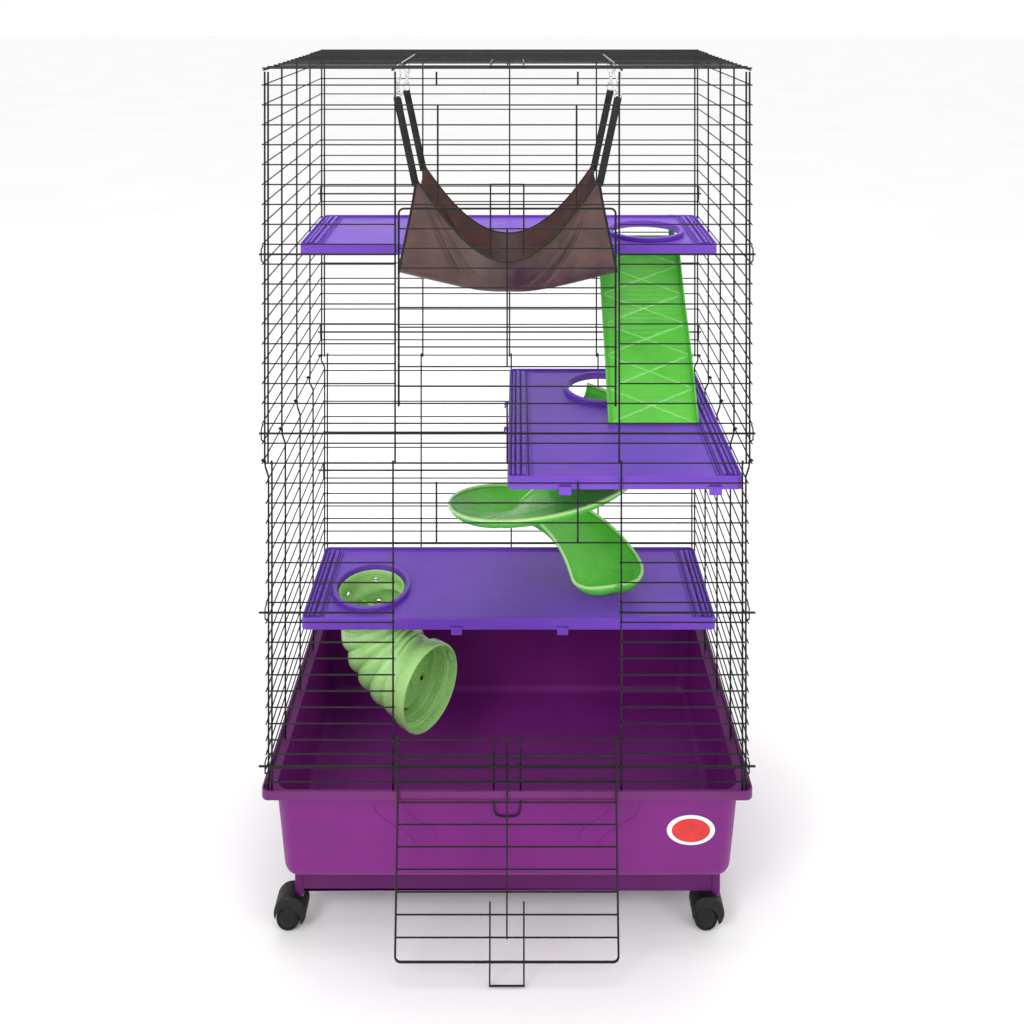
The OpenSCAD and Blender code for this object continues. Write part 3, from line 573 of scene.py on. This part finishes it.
def buildCaster(corner):
    c = caster
    sx, sy = corners[corner]
    spot = Matrix.Translation((sx * skirt["leg"][0], sy * skirt["leg"][1], 0))
    bm = bmesh.new()
    hood = Matrix.Translation((c["hoodAt"][0], 0, c["hoodAt"][1])) @ acrossY
    half = c["hoodWide"] / 2
    lathe(bm, [(0, -half), (c["hood"] - 2, -half), (c["hood"], -half + 2), (c["hood"], half - 2),
               (c["hood"] - 2, half), (0, half)], hood, steps=96, closed=False)
    for side in (-1, 1):  # a wheel pocket on each side of the web
        cutter = bmesh.new()
        deep, wide = c["pocket"], c["wheel"] + c["clear"]
        middle = side * (c["web"] / 2 + deep)
        pocket = Matrix.Translation((-c["trail"], middle, c["wheel"])) @ acrossY
        lathe(cutter, [(0, -deep), (wide, -deep), (wide, deep), (0, deep)], pocket, steps=80, closed=False)
        bm = carve(bm, cutter)
    cutter = bmesh.new()
    block(cutter, (-c["trail"], 0, c["cut"] - 30), (120, 80, 60))
    bm = carve(bm, cutter)
    cutter = bmesh.new()
    seatLow = c["legLow"] - c["seatGap"]  # clears the leg's bush
    lathe(cutter, [(0, seatLow), (c["seat"], seatLow), (c["seat"], 80), (0, 80)], steps=48, closed=False)
    bm = carve(bm, cutter)
    addPiece(bm, "casterHood_" + corner, [casterPlastic], "caster_" + corner,
             ["caster_housing_" + corner], toModel @ spot, bevel=0.7, smooth=30)
    bm = bmesh.new()
    lathe(bm, [(0, c["legLow"] - 6), (c["stem"], c["legLow"] - 6), (c["stem"], c["stemTop"] - 1),
               (c["stem"] - 1, c["stemTop"]), (0, c["stemTop"])], steps=32, closed=False)
    lathe(bm, [(4.2, c["legLow"] - 2.2), (6.4, c["legLow"] - 2.2), (6.4, c["legLow"] - 0.6),
               (4.2, c["legLow"] - 0.6)], steps=40)
    addPiece(bm, "casterStem_" + corner, [axleSteel], "caster_" + corner, place=toModel @ spot,
             smooth=40)
    paintNode("caster_axle_" + corner, axleSteel)
    bm = bmesh.new()
    w = c["wheel"]
    for side in (-1, 1):
        place = (Matrix.Translation((-c["trail"], side * (c["web"] / 2 + 0.4), w))
                 @ Matrix.Rotation(-side * math.pi / 2, 4, "X"))
        lathe(bm, [(3.1, 0), (w - 1, 0), (w, 1), (w, 10.2), (w - 0.7, 11.4), (w - 1.8, 12.4), (w - 2.6, 13),
                   (w - 3.6, 13), (w - 4.0, 12.5), (w - 4.2, 11.8), (w - 4.9, 11.7), (w - 6.0, 12.5),
                   (w - 10, 13.0), (4, 13.3), (3.1, 13.3)], place, steps=72)
        lathe(bm, [(0, 12.5), (3.2, 12.5), (3.2, 13.4), (2.4, 13.9), (0, 14.1)], place, steps=32, closed=False)
    addPiece(bm, "casterWheels_" + corner, [casterPlastic], "wheels_" + corner,
             ["caster_wheels_" + corner], toModel @ spot, smooth=32)


for corner in corners:
    buildCaster(corner)
print("casters made")


shelf = {"plate": (13, 16), "rimHigh": 20, "rimWide": 3, "corner": 10, "hole": 65, "collar": (72.5, 25),
         "rails": ((9, 4, 3), (17, 5, 5), (27, 6, 4), (38, 1.6, 3)), "holes": (17, 27),
         "grooves": (6.0, 12.6, 22, 34.0), "ribEvery": 90, "holeEvery": 24, "holeR": 1.3, "proud": 0.12}
shelves = {
    "upper": {"size": (750, 228), "at": (0, 108, 1040), "hole": (257, -19.5), "clips": (-118, 236)},
    "middle": {"size": (372, 444), "at": (186, 0, 729), "hole": (-8, 123), "clips": (-95, 142), "tabs": (-20, 90)},
    "lower": {"size": (744, 228), "at": (0, 108, 368), "hole": (-259, -19.5), "clips": (-93, 97)},
}


def buildShelf(name):
    s, part = shelf, shelves[name]
    width, depth = part["size"]
    low, high = s["plate"]
    wide = s["rimWide"]
    bm = bmesh.new()
    washer(bm, {"size": (width - 2, depth - 2), "corner": s["corner"] - 1},
           {"radius": s["hole"], "at": part["hole"], "steps": 72}, low, high)
    washer(bm, {"size": (width, depth), "corner": s["corner"]},
           {"size": (width - 2 * wide, depth - 2 * wide), "corner": s["corner"] - wide}, 0, s["rimHigh"])
    hole = Matrix.Translation((*part["hole"], 0))
    outer, top = s["collar"]
    lathe(bm, [(s["hole"], low - 1), (outer - 2, low - 1), (outer - 2, high + 1), (outer - 1, high + 1.5),
               (outer - 1, top - 4), (outer, top - 3.4), (outer, top - 0.8), (outer - 0.8, top), (s["hole"] + 1, top),
               (s["hole"], top - 1)], hole, steps=96)
    for side in (-1, 1):  # slotted rails beside the two ends
        for inset, broad, tall in s["rails"]:
            block(bm, (side * (width / 2 - inset), 0, high - 1 + tall / 2), (broad, depth - 22, tall + 2))
    for y in (-depth / 2 + 9, depth / 2 - 9):
        block(bm, (0, y, high + 0.1), (width - 92, 1.6, 1.6))
    count = int(width / s["ribEvery"])
    for i in range(1, count):  # stiffening ribs under the floor
        x = -width / 2 + i * width / count
        if abs(x - part["hole"][0]) > s["hole"] + 12:
            block(bm, (x, 0, low / 2 + 4), (2, depth - 8, low - 6))
    addPiece(bm, name + "Shelf", [violetPlastic], replaces=[name + "_shelf"],
             place=toModel @ Matrix.Translation(part["at"]), bevel=0.6, segments=2)
    bm = bmesh.new()
    # dark strips of painted shade along the grooves between the rails
    for side in (-1, 1):
        for inset in s["grooves"]:
            block(bm, (side * (width / 2 - inset), 0, high + 0.1), (1.8, depth - 24, 0.5))
    count = int((depth - 40) / s["holeEvery"])
    for side in (-1, 1):  # rows of small drilled holes along the rails, drawn as dark discs of painted shade
        for inset in s["holes"]:
            tall = next(rail[2] for rail in s["rails"] if rail[0] == inset)
            for i in range(count):
                y = -depth / 2 + 26 + (i + (0.5 if inset > 20 else 0)) * (depth - 52) / count
                foot, top = high + tall - 1, high + tall + s["proud"]
                lathe(bm, [(0, foot), (s["holeR"], foot), (s["holeR"], top), (0, top)],
                      Matrix.Translation((side * (width / 2 - inset), y, 0)), steps=12, closed=False)
    addPiece(bm, name + "ShelfGrooveAndHoleShade", [violetPaintedShade],
             place=toModel @ Matrix.Translation(part["at"]))
    if name == "middle":
        bm = bmesh.new()
        for y in part["tabs"]:  # hooks along its free edge
            block(bm, (-width / 2 - 4, y, 6), (8, 9, 4))
            block(bm, (-width / 2 - 7, y, 1.5), (3, 9, 9))
        addPiece(bm, name + "ShelfTabs", [violetPlastic],
                 place=toModel @ Matrix.Translation(part["at"]), bevel=0.7)
    if name != "upper":
        bm = bmesh.new()
        for x in part["clips"]:
            y = -depth / 2
            block(bm, (x, y - 1.2, -1.0), (20, 3.4, 14))
            block(bm, (x, y - 2.0, 5.0), (20, 4.2, 2))
        addPiece(bm, name + "ShelfClips", [violetPlastic],
                 place=toModel @ Matrix.Translation(part["at"]), bevel=0.9)


for name in shelves:
    buildShelf(name)
print("shelves made")


ramp = {"foot": (-25, 745.3), "head": (206, 1020), "x": (177, 337), "wave": 5.0,
        "crossings": 3.0, "ridge": 1.8, "rungs": 38, "rungHigh": 0.35, "lineWide": 2.0, "across": 160,
        "length": 359, "hooks": (187, 328), "wireTop": 1056}


def rampHeight(x, along):  # raised lines and a slow wave, x from 0 to 1 across and along from 0 to 1
    r = ramp
    wave = r["wave"] * math.sin(2 * math.pi * along) * math.sin(math.pi * along)
    lift = 0.0
    turn = along * r["crossings"]
    for phase in (0, 0.5):
        zig = abs(((turn + phase) % 1) * 2 - 1)
        gap = abs(x - zig) * r["across"] / math.hypot(1, r["across"] / (r["length"] / r["crossings"] / 2))
        lift = max(lift, r["ridge"] * max(0, 1 - gap / r["lineWide"]))
    rung = r["rungHigh"] * max(0, math.cos(2 * math.pi * along * r["rungs"])) ** 4
    edge = min(1, min(x, 1 - x) * 20)
    return wave, lift * edge + rung * edge


def buildRamp():
    r = ramp
    run, rise = r["head"][0] - r["foot"][0], r["head"][1] - r["foot"][1]
    length = math.hypot(run, rise)
    wide = r["x"][1] - r["x"][0]
    place = (Matrix.Translation((r["x"][0], r["foot"][0], r["foot"][1]))
             @ Matrix.Rotation(math.atan2(rise, run), 4, "X"))
    bm = bmesh.new()
    bmesh.ops.create_grid(bm, x_segments=88, y_segments=190, size=0.5,
                          matrix=Matrix.Translation((0.5, 0.5, 0)))
    for vert in bm.verts:
        x, along = vert.co.x, vert.co.y
        wave, lift = rampHeight(x, along)
        vert.co = (2 + x * (wide - 4), along * length, 2 + wave + lift)
    for face in bm.faces:
        middle = face.calc_center_median()
        lift = rampHeight((middle.x - 2) / (wide - 4), middle.y / length)[1]
        # faces on the raised lines get the lighter green as painted highlight
        face.material_index = 1 if lift > 0.45 * r["ridge"] else 0
    addPiece(bm, "ramp", [greenPlastic, greenRidgeHighlight], replaces=["ramp"], place=toModel @ place,
             wall=2.0, smooth=60)
    bm = bmesh.new()
    for x in (1.5, wide - 1.5):  # side rims that follow the wave
        block(bm, (x, length / 2, 5.0), (3.4, length, 11.5))
        lengthwise = [edge for edge in bm.edges if abs(edge.verts[0].co.y - edge.verts[1].co.y) > length / 2
                      and abs(edge.verts[0].co.x - x) < 3]
        bmesh.ops.subdivide_edges(bm, edges=lengthwise, cuts=40, use_grid_fill=True)
    block(bm, (wide / 2, 2, 3.4), (wide, 4, 6))
    block(bm, (wide / 2, length - 2, 3.4), (wide, 4, 6))
    for vert in bm.verts:
        vert.co.z += rampHeight(0, min(max(vert.co.y / length, 0), 1))[0]
    addPiece(bm, "rampRims", [greenPlastic], place=toModel @ place, bevel=1.1, segments=3)
    bm = bmesh.new()
    hookLow, overZ = r["head"][1] - 6, r["wireTop"]
    for x in r["hooks"]:
        block(bm, (x, 213, hookLow + 2), (12, 20, 4))
        block(bm, (x, 224.1, (hookLow + overZ + 3) / 2), (12, 3, overZ + 3 - hookLow))
        block(bm, (x, 227.1, overZ + 1.5), (12, 9, 3))
        block(bm, (x, 231.1, overZ - 2), (12, 2, 8))
    addPiece(bm, "rampHooks", [greenPlastic], bevel=0.8)


buildRamp()
print("ramp made")


slide = {"axis": (75, 30), "inner": 47, "outer": 190, "start": 62, "turn": 414, "steps": 136, "cup": 46,
         "fall": ((0, 713), (0.38, 628), (0.83, 466), (1, 384.4)), "wall": 3,
         "bankOut": 22, "bankIn": 18, "vein": 2.0, "veinEvery": 24, "spine": 1.5, "bar": 2.8}


def slideDrop(t):
    points = slide["fall"]
    for (t0, z0), (t1, z1) in zip(points, points[1:]):
        if t <= t1:
            share = (t - t0) / (t1 - t0)
            return z0 + (z1 - z0) * share
    return points[-1][1]


def slideDropSmooth(t):
    spread = 0.05
    return sum(slideDrop(min(max(t + spread * k / 3, 0), 1)) for k in range(-3, 4)) / 7


def slideSection(t, count=26):  # (radius, height) points across the channel, top side then underside
    inner, outer = slide["inner"], slide["outer"]
    middle, half = (inner + outer) / 2, (outer - inner) / 2
    narrow = 1 - 0.1 * math.exp(-(((t - 0.6) / 0.09) ** 2)) - 0.3 * math.exp(-((t / 0.1) ** 2))
    arc = math.radians(slide["turn"]) * middle
    left = (1 - t) * arc
    cup = slide["cup"]
    if left < cup:  # rounded cup at the foot
        narrow *= max(0.2, 1 - ((cup - left) / cup) ** 3) ** (1 / 3)
    half *= narrow
    points = []
    for i in range(count + 1):
        side = -1 + 2 * i / count
        radius = middle + half * side
        bank = slide["bankOut"] if side > 0 else slide["bankIn"]
        height = 3 + bank * abs(side) ** 5
        if left < cup:
            height += bank * ((cup - left) / cup) ** 12 * (1 - abs(side) ** 5)
        points.append((radius, height))
    return points


def buildSlide(name, node, t0, t1):
    s = slide
    count = int(s["steps"] * (t1 - t0))
    times = [t0 + (t1 - t0) * i / count for i in range(count + 1)]
    if t1 > 0.99:  # finer towards the cup's end wall
        last = s["cup"] / (math.radians(s["turn"]) * (s["inner"] + s["outer"]) / 2)
        times = [t for t in times if t < 1 - last] + [1 - last * math.cos(math.pi / 2 * k / 18) ** 1.5
                                                      for k in range(19)]
    bm = bmesh.new()
    first = [bm.verts.new((radius, 0, height)) for radius, height in slideSection(t0)]
    edges = [bm.edges.new(pair) for pair in zip(first, first[1:])]
    ring = first
    for i, t in enumerate(times):
        if i:
            made = bmesh.ops.extrude_edge_only(bm, edges=edges)["geom"]
            edges = [item for item in made if isinstance(item, bmesh.types.BMEdge)
                     and all(vert in made for vert in item.verts)]
            nextRing = []
            for vert in ring:
                nextRing.append(next(edge.other_vert(vert) for edge in vert.link_edges
                                     if edge.other_vert(vert) in made and edge.other_vert(vert) not in ring))
            ring = nextRing
            edges = [edge for edge in edges if all(vert in ring for vert in edge.verts)]
        turn = math.radians(s["start"] - s["turn"] * t)
        drop = slideDropSmooth(t)
        for j, (vert, (radius, height)) in enumerate(zip(ring, slideSection(t))):
            across = j / (len(ring) - 1)
            vein = (math.degrees(turn) / s["veinEvery"] + 1.4 * abs(across - 0.5)) % 1
            ridge = s["vein"] * max(0, 1 - abs(vein - 0.5) / 0.09) * min(1, 6 * min(across, 1 - across))
            spine = s["spine"] * max(0, 1 - abs(across - 0.5) / 0.03)
            lift = height + max(ridge, spine)
            vert.co = (s["axis"][0] + radius * math.cos(turn), s["axis"][1] + radius * math.sin(turn), drop + lift)
    rims = []
    for side in (0, -1):
        rims.append([(s["axis"][0] + section[side][0] * math.cos(turn),
                      s["axis"][1] + section[side][0] * math.sin(turn), slideDropSmooth(t) + section[side][1])
                     for t in (t0 + (t1 - t0) * i / 60 for i in range(61))
                     for section, turn in ((slideSection(t), math.radians(s["start"] - s["turn"] * t)),)])
    bm.normal_update()
    if sum(face.normal.z for face in bm.faces) < 0:
        bmesh.ops.reverse_faces(bm, faces=bm.faces)
    addPiece(bm, name, [greenPlastic], replaces=[node], wall=s["wall"], smooth=70,
             recalc=False)
    bm = bmesh.new()
    if t1 > 0.99:
        addMesh(bm, tubeAlong(rims[0] + rims[1][::-1], s["bar"]))
    else:
        for rim in rims:
            addMesh(bm, tubeAlong(rim, s["bar"]))
    addPiece(bm, name + "Rim", [limePlastic], smooth=60)


buildSlide("slideUpper", "slide_upper", 0.0, 0.5)
buildSlide("slideLower", "slide_lower", 0.5, 1.0)
print("slide made")


tube = {"at": (-259, 88.5), "turn": -38, "bendZ": 374, "bend": 112, "radius": 65, "neck": 61, "wall": 2.5,
        "bumps": 6, "swell": 4.2, "mouth": (72, 24), "lead": 16, "top": 385, "rows": (-0.85, 0.0, 0.85), "airHole": 4.2,
        "catches": (20, 200, 110, 290)}


def buildTube():
    u = tube
    place = (toModel @ Matrix.Translation((u["at"][0], u["at"][1], 0))
             @ Matrix.Rotation(math.radians(u["turn"]), 4, "Z"))
    bm = bmesh.new()
    made = bmesh.ops.create_circle(bm, segments=72, radius=u["radius"],
                                   matrix=Matrix.Translation((0, 0, u["bendZ"])))
    edges = list({edge for vert in made["verts"] for edge in vert.link_edges})
    centre = Vector((u["bend"], 0, u["bendZ"]))
    bmesh.ops.spin(bm, geom=made["verts"] + edges, cent=centre, axis=(0, 1, 0), angle=-math.pi / 2, steps=72)
    for vert in bm.verts:
        swing = math.atan2(u["bendZ"] - vert.co.z, u["bend"] - vert.co.x)
        spine = Vector((u["bend"] * (1 - math.cos(swing)), 0, u["bendZ"] - u["bend"] * math.sin(swing)))
        out = vert.co - spine
        side = math.atan2(out.y, -(out.x * math.cos(swing) + (u["bendZ"] - vert.co.z - u["bend"]
                          * math.sin(swing)) * math.sin(swing)))
        phase = swing / (math.pi / 2) * u["bumps"] + 0.35 * math.sin(side)
        bump = abs(math.sin(math.pi * phase)) ** 0.7
        scale = 0.75 + 0.25 * math.cos(side * 4)
        fade = min(1, 12 * min(swing, math.pi / 2 - swing) / (math.pi / 2))
        vert.co += out.normalized() * u["swell"] * (2 * bump * scale - 0.9) * fade
    holes = []
    for k in range(u["bumps"]):  # one air hole in each swelling, in three rows
        for row in u["rows"]:
            swing = (k + 0.5 - 0.35 * math.sin(row)) / u["bumps"] * math.pi / 2
            direction = Vector((-math.cos(row) * math.cos(swing), math.sin(row), -math.cos(row) * math.sin(swing)))
            spine = Vector((u["bend"] * (1 - math.cos(swing)), 0, u["bendZ"] - u["bend"] * math.sin(swing)))
            holes.append(spine + direction * (u["radius"] + 3))
    for target in holes:
        vert = min(bm.verts, key=lambda v: (v.co - target).length_squared)
        if len(vert.link_faces) != 4:
            continue
        bmesh.ops.dissolve_verts(bm, verts=[vert])
        near = min(bm.faces, key=lambda f: (f.calc_center_median() - target).length_squared)
        middle = near.calc_center_median()
        for corner in near.verts:
            corner.co = middle + (corner.co - middle).normalized() * u["airHole"]
        bmesh.ops.delete(bm, geom=[near], context="FACES_ONLY")
    bmesh.ops.recalc_face_normals(bm, faces=bm.faces)
    addPiece(bm, "tubeElbow", [limePlastic], "tube", ["tube_elbow"], place, wall=u["wall"],
             smooth=60)
    bm = bmesh.new()
    bore, inner, shoulder = u["neck"] - u["wall"], u["radius"] - u["wall"], u["bendZ"] + 5
    lathe(bm, [(inner, u["bendZ"] - 1), (u["radius"] + 0.6, u["bendZ"] - 1), (68, u["bendZ"] + 1), (68, shoulder - 1),
               (67, shoulder), (u["neck"], shoulder), (u["neck"], u["top"] - 0.8), (u["neck"] - 0.8, u["top"]),
               (bore + 0.8, u["top"]), (bore, u["top"] - 0.8),
               (bore, shoulder - 2), (inner, shoulder - 4)], steps=96)
    mouthR, mouthL = u["mouth"]
    lead = u["lead"]
    aim = Matrix.Translation((u["bend"], 0, u["bendZ"] - u["bend"])) @ Matrix.Rotation(math.pi / 2, 4, "Y")
    lathe(bm, [(inner, -1), (u["radius"] + 0.6, -1), (u["radius"] + 0.6, lead - 3), (mouthR - 2, lead - 1.5),
               (mouthR, lead + 1), (mouthR, lead + mouthL - 2), (mouthR - 0.6, lead + mouthL - 0.6),
               (mouthR - 1.4, lead + mouthL), (mouthR - 3.4, lead + mouthL), (mouthR - 4, lead + mouthL - 0.6),
               (mouthR - 4, lead + 6), (inner + 1.6, lead + 5), (inner + 1.6, lead + 2), (inner, lead + 1)], aim,
          steps=96)
    for side in u["catches"]:  # catches inside the mouth
        swing = math.radians(side)
        block(bm, aim @ Vector(((mouthR - 6) * math.cos(swing), (mouthR - 6) * math.sin(swing), lead + 16)),
              (5, 3.5, 16), Matrix.Rotation(math.pi / 2, 4, "Y") @ Matrix.Rotation(swing, 4, "Z")
              @ Matrix.Rotation(math.pi / 2, 4, "X"))
    addPiece(bm, "tubeEnds", [limePlastic], "tube", place=place, smooth=40)


buildTube()
print("tube made")


hammock = {"middle": -98, "half": 65, "corner": (150, 1213), "flat": (380, 390), "waist": 245, "cells": (76, 66),
           "frames": 60, "gather": 26, "front": (138, 84), "back": (112, 108), "endSag": 150, "flare": 26,
           "cloth": 1.5, "edge": 3.2, "hookX": 180, "hookTop": 1388.35, "ringLow": 1337.6, "strap": 12}


def cutAt(grid):  # a point of the cut cloth in metres, whose two long edges are hollowed
    width, depth = hammock["flat"]
    here = hammock["waist"] + (depth - hammock["waist"]) * (2 * grid.x) ** 2
    return Vector((grid.x * width, grid.y * here, 0)) / 1000


def hungAt(grid):  # the same point with the corners drawn together, before it settles
    h = hammock
    across, deep = grid.x * 2, grid.y * 2
    edge, belly = h["front"] if deep < 0 else h["back"]
    end = abs(across) ** 2.2
    sag = (edge + belly * (1 - abs(deep) ** 2.0)) * (1 - end) + h["endSag"] * (1 - deep ** 2) * end
    flare = h["flare"] * (1 - deep ** 2) * across
    jitter = 1.5 * noise.noise(Vector((across * 4, deep * 4, 3.1)))
    y = h["middle"] + h["half"] * (0.25 * deep + 0.75 * math.sin(deep * math.pi / 2)) + jitter
    return Vector((h["corner"][0] * across + flare, y, h["corner"][1] - sag)) / 1000


def settleCloth(sling, flatAt, hung):  # starts flat, its corners are drawn together, and it settles
    h = hammock
    mesh, scene = sling.data, bpy.context.scene
    for vert, spot in zip(mesh.vertices, flatAt):
        ripple = 2.0 * noise.noise(spot * 14.0)
        vert.co = spot + Vector((0, h["middle"], h["corner"][1] + ripple)) / 1000
    sling.shape_key_add(name="flat")
    gathered = sling.shape_key_add(name="gathered")
    for point, spot in zip(gathered.data, hung):
        point.co = spot
    for number, share in ((1, 0.0), (h["gather"], 1.0)):
        gathered.value = share
        gathered.keyframe_insert("value", frame=number)
    pins = sling.vertex_groups.new(name="pins")
    width, depth = h["flat"]
    pins.add([i for i, spot in enumerate(flatAt) if abs(spot.x) > width / 2000 - 0.009
              and abs(spot.y) > depth / 2000 - 0.014], 1.0, "REPLACE")
    cloth = sling.modifiers.new("cloth", "CLOTH")
    c = cloth.settings
    c.quality, c.mass, c.air_damping = 7, 0.25, 3.0
    c.tension_stiffness = c.compression_stiffness = 20
    c.shear_stiffness, c.bending_stiffness = 6, 0.4
    c.vertex_group_mass = "pins"
    cloth.collision_settings.use_self_collision = True
    cloth.collision_settings.self_distance_min = 0.0015
    cloth.point_cache.frame_start, cloth.point_cache.frame_end = 1, h["frames"]
    scene.frame_start, scene.frame_end = 1, h["frames"]
    for number in range(1, h["frames"] + 1):
        scene.frame_set(number)
    settled = bpy.data.meshes.new_from_object(sling.evaluated_get(bpy.context.evaluated_depsgraph_get()))
    mesh.shape_keys.animation_data_clear()
    scene.frame_set(1)
    sling.modifiers.clear()
    sling.shape_key_clear()
    for vert, done in zip(mesh.vertices, settled.vertices):
        vert.co = done.co
    bpy.data.meshes.remove(settled)


def thicken(piece, name, thick, material=0):
    wall = piece.modifiers.new(name, "SOLIDIFY")
    wall.thickness, wall.offset, wall.material_offset = thick / 1000, 0, material
    smooth = piece.modifiers.new("smooth", "SUBSURF")
    smooth.levels = smooth.render_levels = 1


def buildHammock():
    h = hammock
    width, depth = h["flat"]
    bm = bmesh.new()
    bmesh.ops.create_grid(bm, x_segments=h["cells"][0], y_segments=h["cells"][1], size=0.5, calc_uvs=True)
    uvLayer = bm.loops.layers.uv.verify()
    for face in bm.faces:
        for loop in face.loops:
            spot = cutAt(loop.vert.co)
            loop[uvLayer].uv = (spot.x + width / 2000, spot.y + depth / 2000)
    mesh = bpy.data.meshes.new("hammockSling")
    bm.to_mesh(mesh)
    bm.free()
    sling = bpy.data.objects.new("hammockSling", mesh)
    bpy.context.scene.collection.objects.link(sling)
    flatAt = [cutAt(vert.co) for vert in mesh.vertices]
    hung = [hungAt(vert.co) for vert in mesh.vertices]
    settleCloth(sling, flatAt, hung)
    mesh.transform(Matrix.Translation((0, cageY, 0)))
    tape = bmesh.new()
    tape.from_mesh(mesh)
    inner = [face for face in tape.faces
             if not any(edge.is_boundary for vert in face.verts for edge in vert.link_edges)]
    bmesh.ops.delete(tape, geom=inner, context="FACES")
    for material in (hammockSatin, hammockInnerSheen):
        mesh.materials.append(material)
    mesh.shade_smooth()
    # the solidified second face takes the paler satin, a painted sheen
    thicken(sling, "cloth", h["cloth"], 1)
    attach(sling, "hammock")
    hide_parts("hammock_sling")
    binding = addPiece(tape, "hammockBinding", [blackTape], "hammock", place=Matrix.Identity(4),
                       smooth=80, merge=1e-6, recalc=False)
    thicken(binding, "tape", h["edge"])
    return [max((vert.co for vert in mesh.vertices),
                key=lambda co: co.z + sx * co.x * 1.2 + sy * (co.y - cageY) * 1.2).copy()
            for sx in (-1, 1) for sy in (-1, 1)]


def buildStraps(cornerPoints):
    h = hammock
    bm = bmesh.new()
    for point in cornerPoints:
        x, y, z = point.x * 1000, (point.y - cageY) * 1000, point.z * 1000
        side, end = math.copysign(1, x), math.copysign(1, y - h["middle"])
        top = Vector((side * h["hookX"], h["middle"] + end * h["half"], h["ringLow"]))
        foot = Vector((x, y, z - 16))
        rise = (top - foot).normalized()
        wide = Vector((rise.z, 0, -rise.x)) * h["strap"] / 2
        path = [foot + end * Vector((0, 2.2, 0)), foot + rise * 18 + end * Vector((0, 1.8, 0)),
                top - rise * 30 + end * Vector((0, 1.6, 0)), top - rise * 2 + end * Vector((0, 1.8, 0)),
                top + rise * 1.4, top - rise * 2 - end * Vector((0, 1.8, 0)),
                top - rise * 20 - end * Vector((0, 0.4, 0))]
        edge = bm.edges.new([bm.verts.new(path[0] + wide * way) for way in (-1, 1)])
        for here, there in zip(path, path[1:]):
            made = bmesh.ops.extrude_edge_only(bm, edges=[edge])["geom"]
            bmesh.ops.translate(bm, vec=there - here, verts=vertsOf({"geom": made}))
            edge = next(item for item in made if isinstance(item, bmesh.types.BMEdge)
                        and all(vert in made for vert in item.verts))
    uvLayer = bm.loops.layers.uv.verify()
    for face in bm.faces:
        for loop in face.loops:
            loop[uvLayer].uv = (loop.vert.co.x / 1000, loop.vert.co.z / 1000)
    addPiece(bm, "hammockStraps", [blackTape], "hammock", ["hammock_straps"], smooth=60,
             recalc=False, wall=1.2)


def ringPoints(centre, radius, axis, count=20):
    points = []
    for i in range(count):
        turn = 2 * math.pi * i / count
        a, b = radius * math.cos(turn), radius * math.sin(turn)
        offset = {"x": (0, a, b), "y": (a, 0, b), "z": (a, b, 0)}[axis]
        points.append(tuple(c + o for c, o in zip(centre, offset)))
    return points


def buildHooks():
    h = hammock
    bm = bmesh.new()
    for side in (-1, 1):
        for end in (-1, 1):
            x, y = side * h["hookX"], h["middle"] + end * h["half"]
            z = h["hookTop"]
            hook = [(x + 4.6, y, z - 18), (x + 5.4, y, z - 8), (x + 4.6, y, z - 1), (x, y, z + 3.0),
                    (x - 4.6, y, z - 1), (x - 5.2, y, z - 7)]
            addMesh(bm, tubeAlong(hook, 1.4))
            gate = [(x - 5.0, y, z - 8), (x - 4.6, y, z - 13), (x - 2, y, z - 18)]
            addMesh(bm, tubeAlong(gate, 1.1))
            lathe(bm, [(0, z - 34), (2.2, z - 34), (2.6, z - 31), (3.2, z - 28), (3.4, z - 22), (2.6, z - 18),
                       (0, z - 16)],
                  Matrix.Translation((x + 1, y, 0)), steps=24, closed=False)
            block(bm, (x + 2.8, y, z - 18.5), (6.5, 3.2, 3.4))
            lathe(bm, [(0, z - 38.5), (4.4, z - 38.5), (5.0, z - 37.6), (5.0, z - 36), (4.2, z - 35), (0, z - 34.5)],
                  Matrix.Translation((x, y, 0)), steps=28, closed=False)
            addMesh(bm, tubeAlong(ringPoints((x, y, z - 44.5), 5.6, "y"), 1.3, closed=True))
    addPiece(bm, "hammockHooks", [hookNickel], replaces=["hammock_hooks"], smooth=50)


cornerPoints = buildHammock()
buildStraps(cornerPoints)
buildHooks()
print("hammock made")
